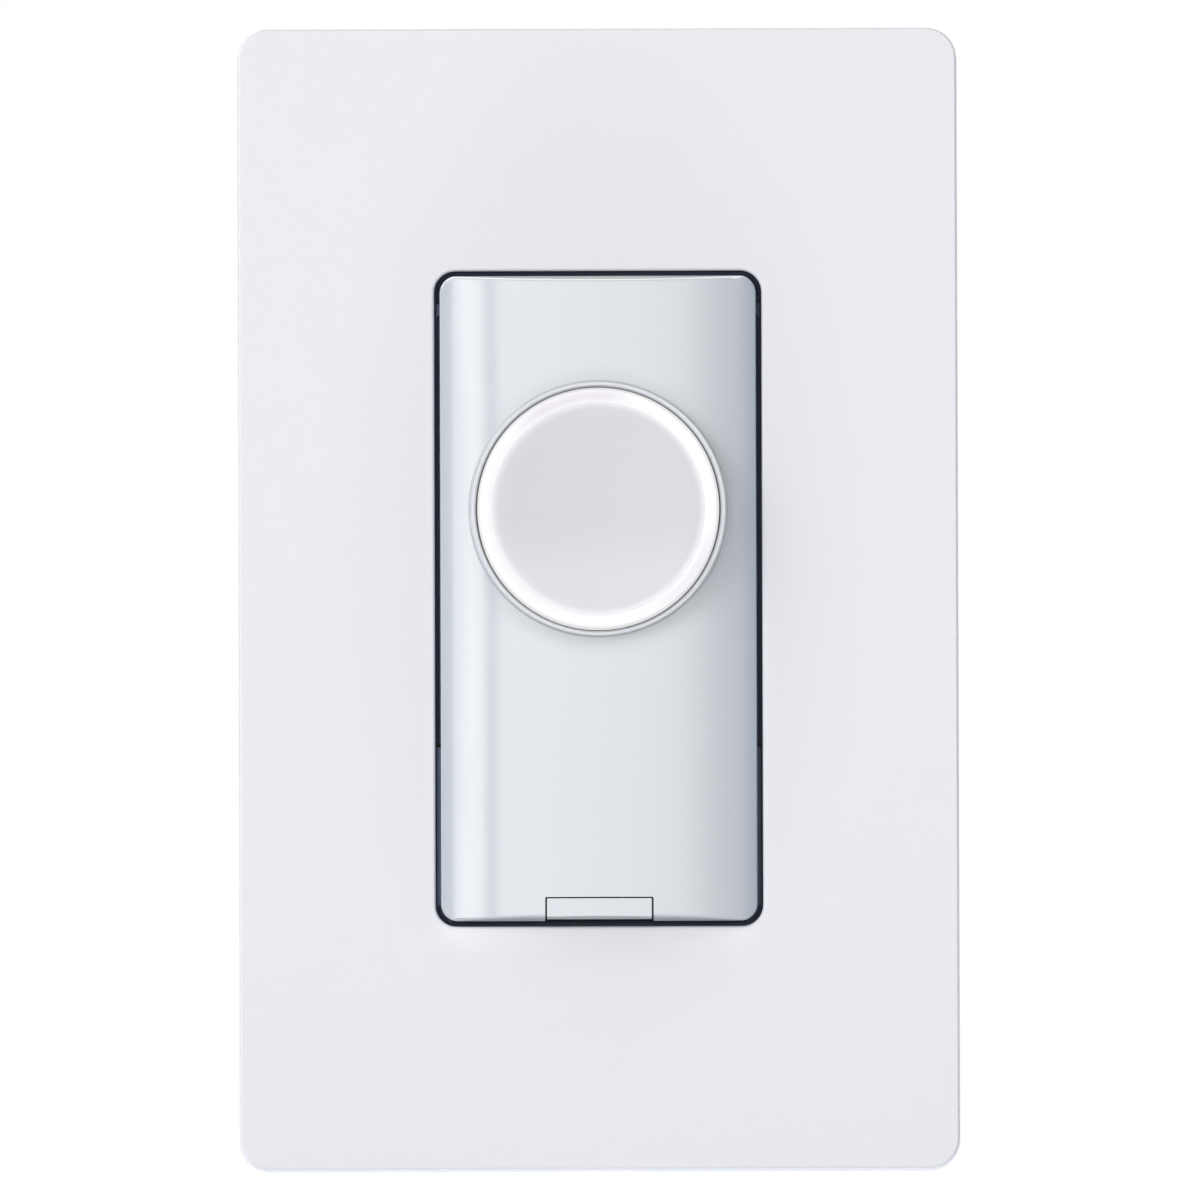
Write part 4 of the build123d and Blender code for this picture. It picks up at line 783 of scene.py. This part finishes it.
class SWITCH_OT_threads(FinishOperator, bpy.types.Operator):
    """Cut the threads of the two long screws that hold the switch to its wall box."""
    bl_idname = "switch.threads"
    bl_label = "Box screws"

    def execute(self, context):
        settings = context.scene.switch_screws
        low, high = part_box("box_screws")
        yoke_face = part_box("mounting_yoke")[0].y
        head_radius = high.x
        middle = high.z - head_radius
        finish = plated("zinc_thread", context.scene.switch_metal.zinc, 0.24)
        sheets = [screw_sheet(side * middle, low.y, yoke_face, high.y, head_radius, settings)
                  for side in (-1, 1)]
        made = grid_object("threaded_box_screws", sheets, "switch_body", finish, 50.0)
        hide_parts("box_screws")
        return {"FINISHED"}


class SWITCH_OT_inside(FinishOperator, bpy.types.Operator):
    """Finish the circuit boards and what they carry."""
    bl_idname = "switch.inside"
    bl_label = "Circuit boards"

    def execute(self, context):
        settings = context.scene.switch_inside
        dress(board_finish("green_board", settings.mask), "control_board", "power_board")
        dress(board_finish("blue_board", settings.radio_mask), "radio_module")
        for name, tone, rough, grain, depth, spread, *nodes in (
            ("package_black", settings.package, 0.55, 0.15, 0.006, 0.03, "tact_switch", "control_chips",
             "header_base", "triac"),
            ("led_phosphor", (0.85, 0.72, 0.28), 0.4, 0.1, 0.004, 0.03, "ring_leds"),
            ("fuse_ceramic", (0.82, 0.80, 0.76), 0.35, 0.2, 0.004, 0.03, "fuse"),
            ("dipped_blue", (0.04, 0.12, 0.42), 0.3, 0.9, 0.03, 0.03, "varistor"),
            ("ferrite", (0.055, 0.055, 0.06), 0.7, 0.2, 0.02, 0.15, "line_inductor", "transformer_core"),
            ("film_box", (0.52, 0.25, 0.05), 0.35, 0.5, 0.006, 0.03, "film_capacitor"),
        ):
            dress(moulded(name, tone, rough, grain * MM, depth * MM, spread), *nodes)
        dress(banded_finish("wound_tape", (0.72, 0.50, 0.08), 0.9 * MM, 2), "transformer_bobbin")
        dress(banded_finish("can_sleeve", (0.03, 0.04, 0.09), 6.0 * MM, 2, 0.3, 0.01 * MM),
              "bulk_capacitors")
        dress(fibre_finish("barrier_paper", (0.60, 0.52, 0.32), 0.3 * MM, 0.01 * MM), "insulating_barrier")
        return {"FINISHED"}


class SWITCH_OT_rear(FinishOperator, bpy.types.Operator):
    """Finish the rear body."""
    bl_idname = "switch.rear"
    bl_label = "Rear body"

    def execute(self, context):
        tone = context.scene.switch_inside.body
        dress(moulded("body_black", tone, 0.5, 0.28 * MM, 0.012 * MM, spread=0.12), "rear_housing")
        return {"FINISHED"}


def around(azimuth, elevation, distance):
    """A place round the switch: azimuth 0 is straight in front and grows towards the right."""
    azimuth, elevation = math.radians(azimuth), math.radians(elevation)
    across, towards = math.sin(azimuth) * math.cos(elevation), -math.cos(azimuth) * math.cos(elevation)
    return distance * Vector((across, towards, math.sin(elevation)))


def panel_light(name, place, width, height, radiance, facing=None):
    """A soft panel of an even radiance that the camera doesn't see, turned to the switch or to facing."""
    data = bpy.data.lights.new(name, "AREA")
    data.shape = "RECTANGLE"
    data.size, data.size_y = width, height
    data.energy = radiance * math.pi * width * height
    lamp = bpy.data.objects.new(name, data)
    bpy.context.scene.collection.objects.link(lamp)
    lamp.location = place
    lamp.rotation_euler = (facing or -place).to_track_quat("-Z", "Y").to_euler()
    lamp.visible_camera = False
    return lamp


def seen_white(tree):
    """1 for a ray from the camera, from gloss or through glass, and 0 for the rest."""
    path = tree.nodes.new("ShaderNodeLightPath")
    either = tree.nodes.new("ShaderNodeMath")
    either.operation = "MAXIMUM"
    tree.links.new(path.outputs["Is Camera Ray"], either.inputs[0])
    tree.links.new(path.outputs["Is Glossy Ray"], either.inputs[1])
    both = tree.nodes.new("ShaderNodeMath")
    both.operation = "MAXIMUM"
    tree.links.new(either.outputs[0], both.inputs[0])
    tree.links.new(path.outputs["Is Transmission Ray"], both.inputs[1])
    return both.outputs[0]


class SWITCH_OT_stage(FinishOperator, bpy.types.Operator):
    """Set up the floor, the lights, the world and the camera."""
    bl_idname = "switch.stage"
    bl_label = "Stage"

    def execute(self, context):
        settings = context.scene.switch_stage
        scene = context.scene
        scene.view_settings.view_transform = "Standard"
        self.make_world(scene, settings)
        self.make_floor(scene, settings)
        self.make_lights(settings)
        self.make_camera(scene, settings)
        return {"FINISHED"}

    def make_world(self, scene, settings):
        """White to the camera, to gloss and to glass, and a soft ambient light to the rest."""
        world = bpy.data.worlds.new("studio")
        scene.world = world
        world.use_nodes = True
        tree = world.node_tree
        background = tree.nodes["Background"]
        seen = seen_white(tree)
        tone = tree.nodes.new("ShaderNodeMix")
        tone.data_type = "RGBA"
        tree.links.new(seen, tone.inputs["Factor"])
        tone.inputs[6].default_value = (*settings.cool, 1.0)
        tone.inputs[7].default_value = (*WHITE, 1.0)
        tree.links.new(tone.outputs[2], background.inputs["Color"])
        level = tree.nodes.new("ShaderNodeMapRange")
        tree.links.new(seen, level.inputs["Value"])
        level.inputs["To Min"].default_value = settings.ambient
        level.inputs["To Max"].default_value = 1.0
        tree.links.new(level.outputs[0], background.inputs["Strength"])

    def make_floor(self, scene, settings):
        """A wide pale floor below the switch, which keeps its shadow."""
        side = 6.0
        level = PLATE_LOW.z - settings.floor_drop
        mesh = bpy.data.meshes.new("floor")
        corners = [(x * side, y * side, level) for x, y in ((-1, -1), (1, -1), (1, 1), (-1, 1))]
        mesh.from_pydata(corners, [], [(0, 1, 2, 3)])
        finish = Finish("floor_paper", tuple(settings.floor), 0.9)
        soft = finish.noise(60 * MM, 3.0)
        base = tuple(settings.floor)
        finish.to("Base Color", finish.mixed(soft, shaded(base, 0.99), base))
        seen = seen_white(finish.tree)
        across, along, _ = finish.axes()
        far = finish.between(finish.hypot(across, along), 0.15, 0.7, 0.35, 1.0)
        finish.set(**{"Emission Color": (*WHITE, 1.0)})
        finish.to("Emission Strength", finish.times(seen, far))
        mesh.materials.append(finish.material)
        floor = bpy.data.objects.new("floor", mesh)
        scene.collection.objects.link(floor)

    def make_lights(self, settings):
        """A front panel that fades at its right, a strip and a key at the left, panels above and behind.

        Two cards on the floor light the switch from below.
        """
        fading = [(f"fade_panel_{step}", 14.9 + 2.9 * step, 0.0, 1.25, 0.0633, 0.46, settings.front * part)
                  for step, part in enumerate((0.92, 0.80, 0.56, 0.28, 0.1))]
        for name, azimuth, elevation, distance, width, height, radiance in (
            ("front_panel", -3.67, 0.0, 1.25, 0.766, 0.46, settings.front),
            *fading,
            ("top_panel", 0.0, 60.0, 1.5, 1.0, 0.5, settings.top),
            ("strip_panel", -25.8, 0.0, 1.5, 0.147, 0.8, settings.strip),
            ("key_panel", -58.0, 28.0, 4.0, 2.2, 2.2, settings.key),
            ("rear_panel", 155.0, 25.0, 1.4, 0.9, 0.7, settings.rear),
        ):
            panel_light(name, around(azimuth, elevation, distance), width, height, radiance)
        level = PLATE_LOW.z - settings.floor_drop + 0.006
        for name, along, depth, width, radiance in (("card_panel", -0.33, 0.54, 0.6, settings.card),
                                                    ("sill_panel", 0.024, 0.072, 0.24, settings.sill)):
            card = panel_light(name, Vector((0.0, along, level)), width, depth, radiance,
                               Vector((0.0, 0.0, 1.0)))
            card.data.color = settings.cool

    def make_camera(self, scene, settings):
        """A long lens in front and a little below; the plate fills the photograph's own rows."""
        pixel = (PLATE_HIGH.z - PLATE_LOW.z) / (PHOTO_PLATE_BOTTOM - PHOTO_PLATE_TOP)
        data = bpy.data.cameras.new("camera")
        data.sensor_width = 36.0
        data.lens = data.sensor_width * settings.camera_distance / (PHOTO_SIDE * pixel)
        data.clip_start, data.clip_end = 0.1, 50.0
        camera = bpy.data.objects.new("camera", data)
        scene.collection.objects.link(camera)
        middle = (PLATE_LOW + PLATE_HIGH) / 2
        x = middle.x + (PHOTO_SIDE / 2 - PHOTO_PLATE_CENTRE[0]) * pixel
        z = middle.z - (PHOTO_SIDE / 2 - PHOTO_PLATE_CENTRE[1]) * pixel
        camera.matrix_world = (Matrix.Translation((x, PLATE_HIGH.y, z))
                               @ Matrix.Rotation(math.radians(90) + settings.below, 4, "X")
                               @ Matrix.Rotation(-settings.roll, 4, "Z")
                               @ Matrix.Translation((0.0, 0.0, settings.camera_distance)))
        scene.camera = camera


class SWITCH_PT_panel(bpy.types.Panel):
    """Sizes, colours and steps of the wall switch."""
    bl_idname = "SWITCH_PT_panel"
    bl_label = "Wall Switch"
    bl_space_type = "VIEW_3D"
    bl_region_type = "UI"
    bl_category = "Wall Switch"

    def draw(self, context):
        for group, settings_class in SETTINGS.items():
            settings = getattr(context.scene, group)
            box = self.layout.box()
            box.label(text=settings_class.__doc__.rstrip("."))
            for name in settings_class.__annotations__:
                box.prop(settings, name)
        for step in STEPS:
            self.layout.operator(step.bl_idname)


SETTINGS = {
    "switch_cover": CoverSettings,
    "switch_insert": InsertSettings,
    "switch_button": ButtonSettings,
    "switch_metal": MetalSettings,
    "switch_screws": ScrewSettings,
    "switch_inside": InsideSettings,
    "switch_stage": StageSettings,
}
STEPS = (SWITCH_OT_cover, SWITCH_OT_insert, SWITCH_OT_button, SWITCH_OT_metal, SWITCH_OT_threads,
         SWITCH_OT_inside, SWITCH_OT_rear, SWITCH_OT_stage)


def register():
    """Adds the settings, the operators and the panel to Blender."""
    for group, settings_class in SETTINGS.items():
        bpy.utils.register_class(settings_class)
        setattr(bpy.types.Scene, group, PointerProperty(type=settings_class))
    for kind in (*STEPS, SWITCH_PT_panel):
        bpy.utils.register_class(kind)


def unregister():
    """Takes them out again."""
    for kind in (SWITCH_PT_panel, *reversed(STEPS)):
        bpy.utils.unregister_class(kind)
    for group, settings_class in SETTINGS.items():
        delattr(bpy.types.Scene, group)
        bpy.utils.unregister_class(settings_class)


def main():
    """Registers everything and runs each step in order."""
    register()
    for step in STEPS:
        group, name = step.bl_idname.split(".")
        getattr(getattr(bpy.ops, group), name)()


if __name__ == "__main__":
    main()
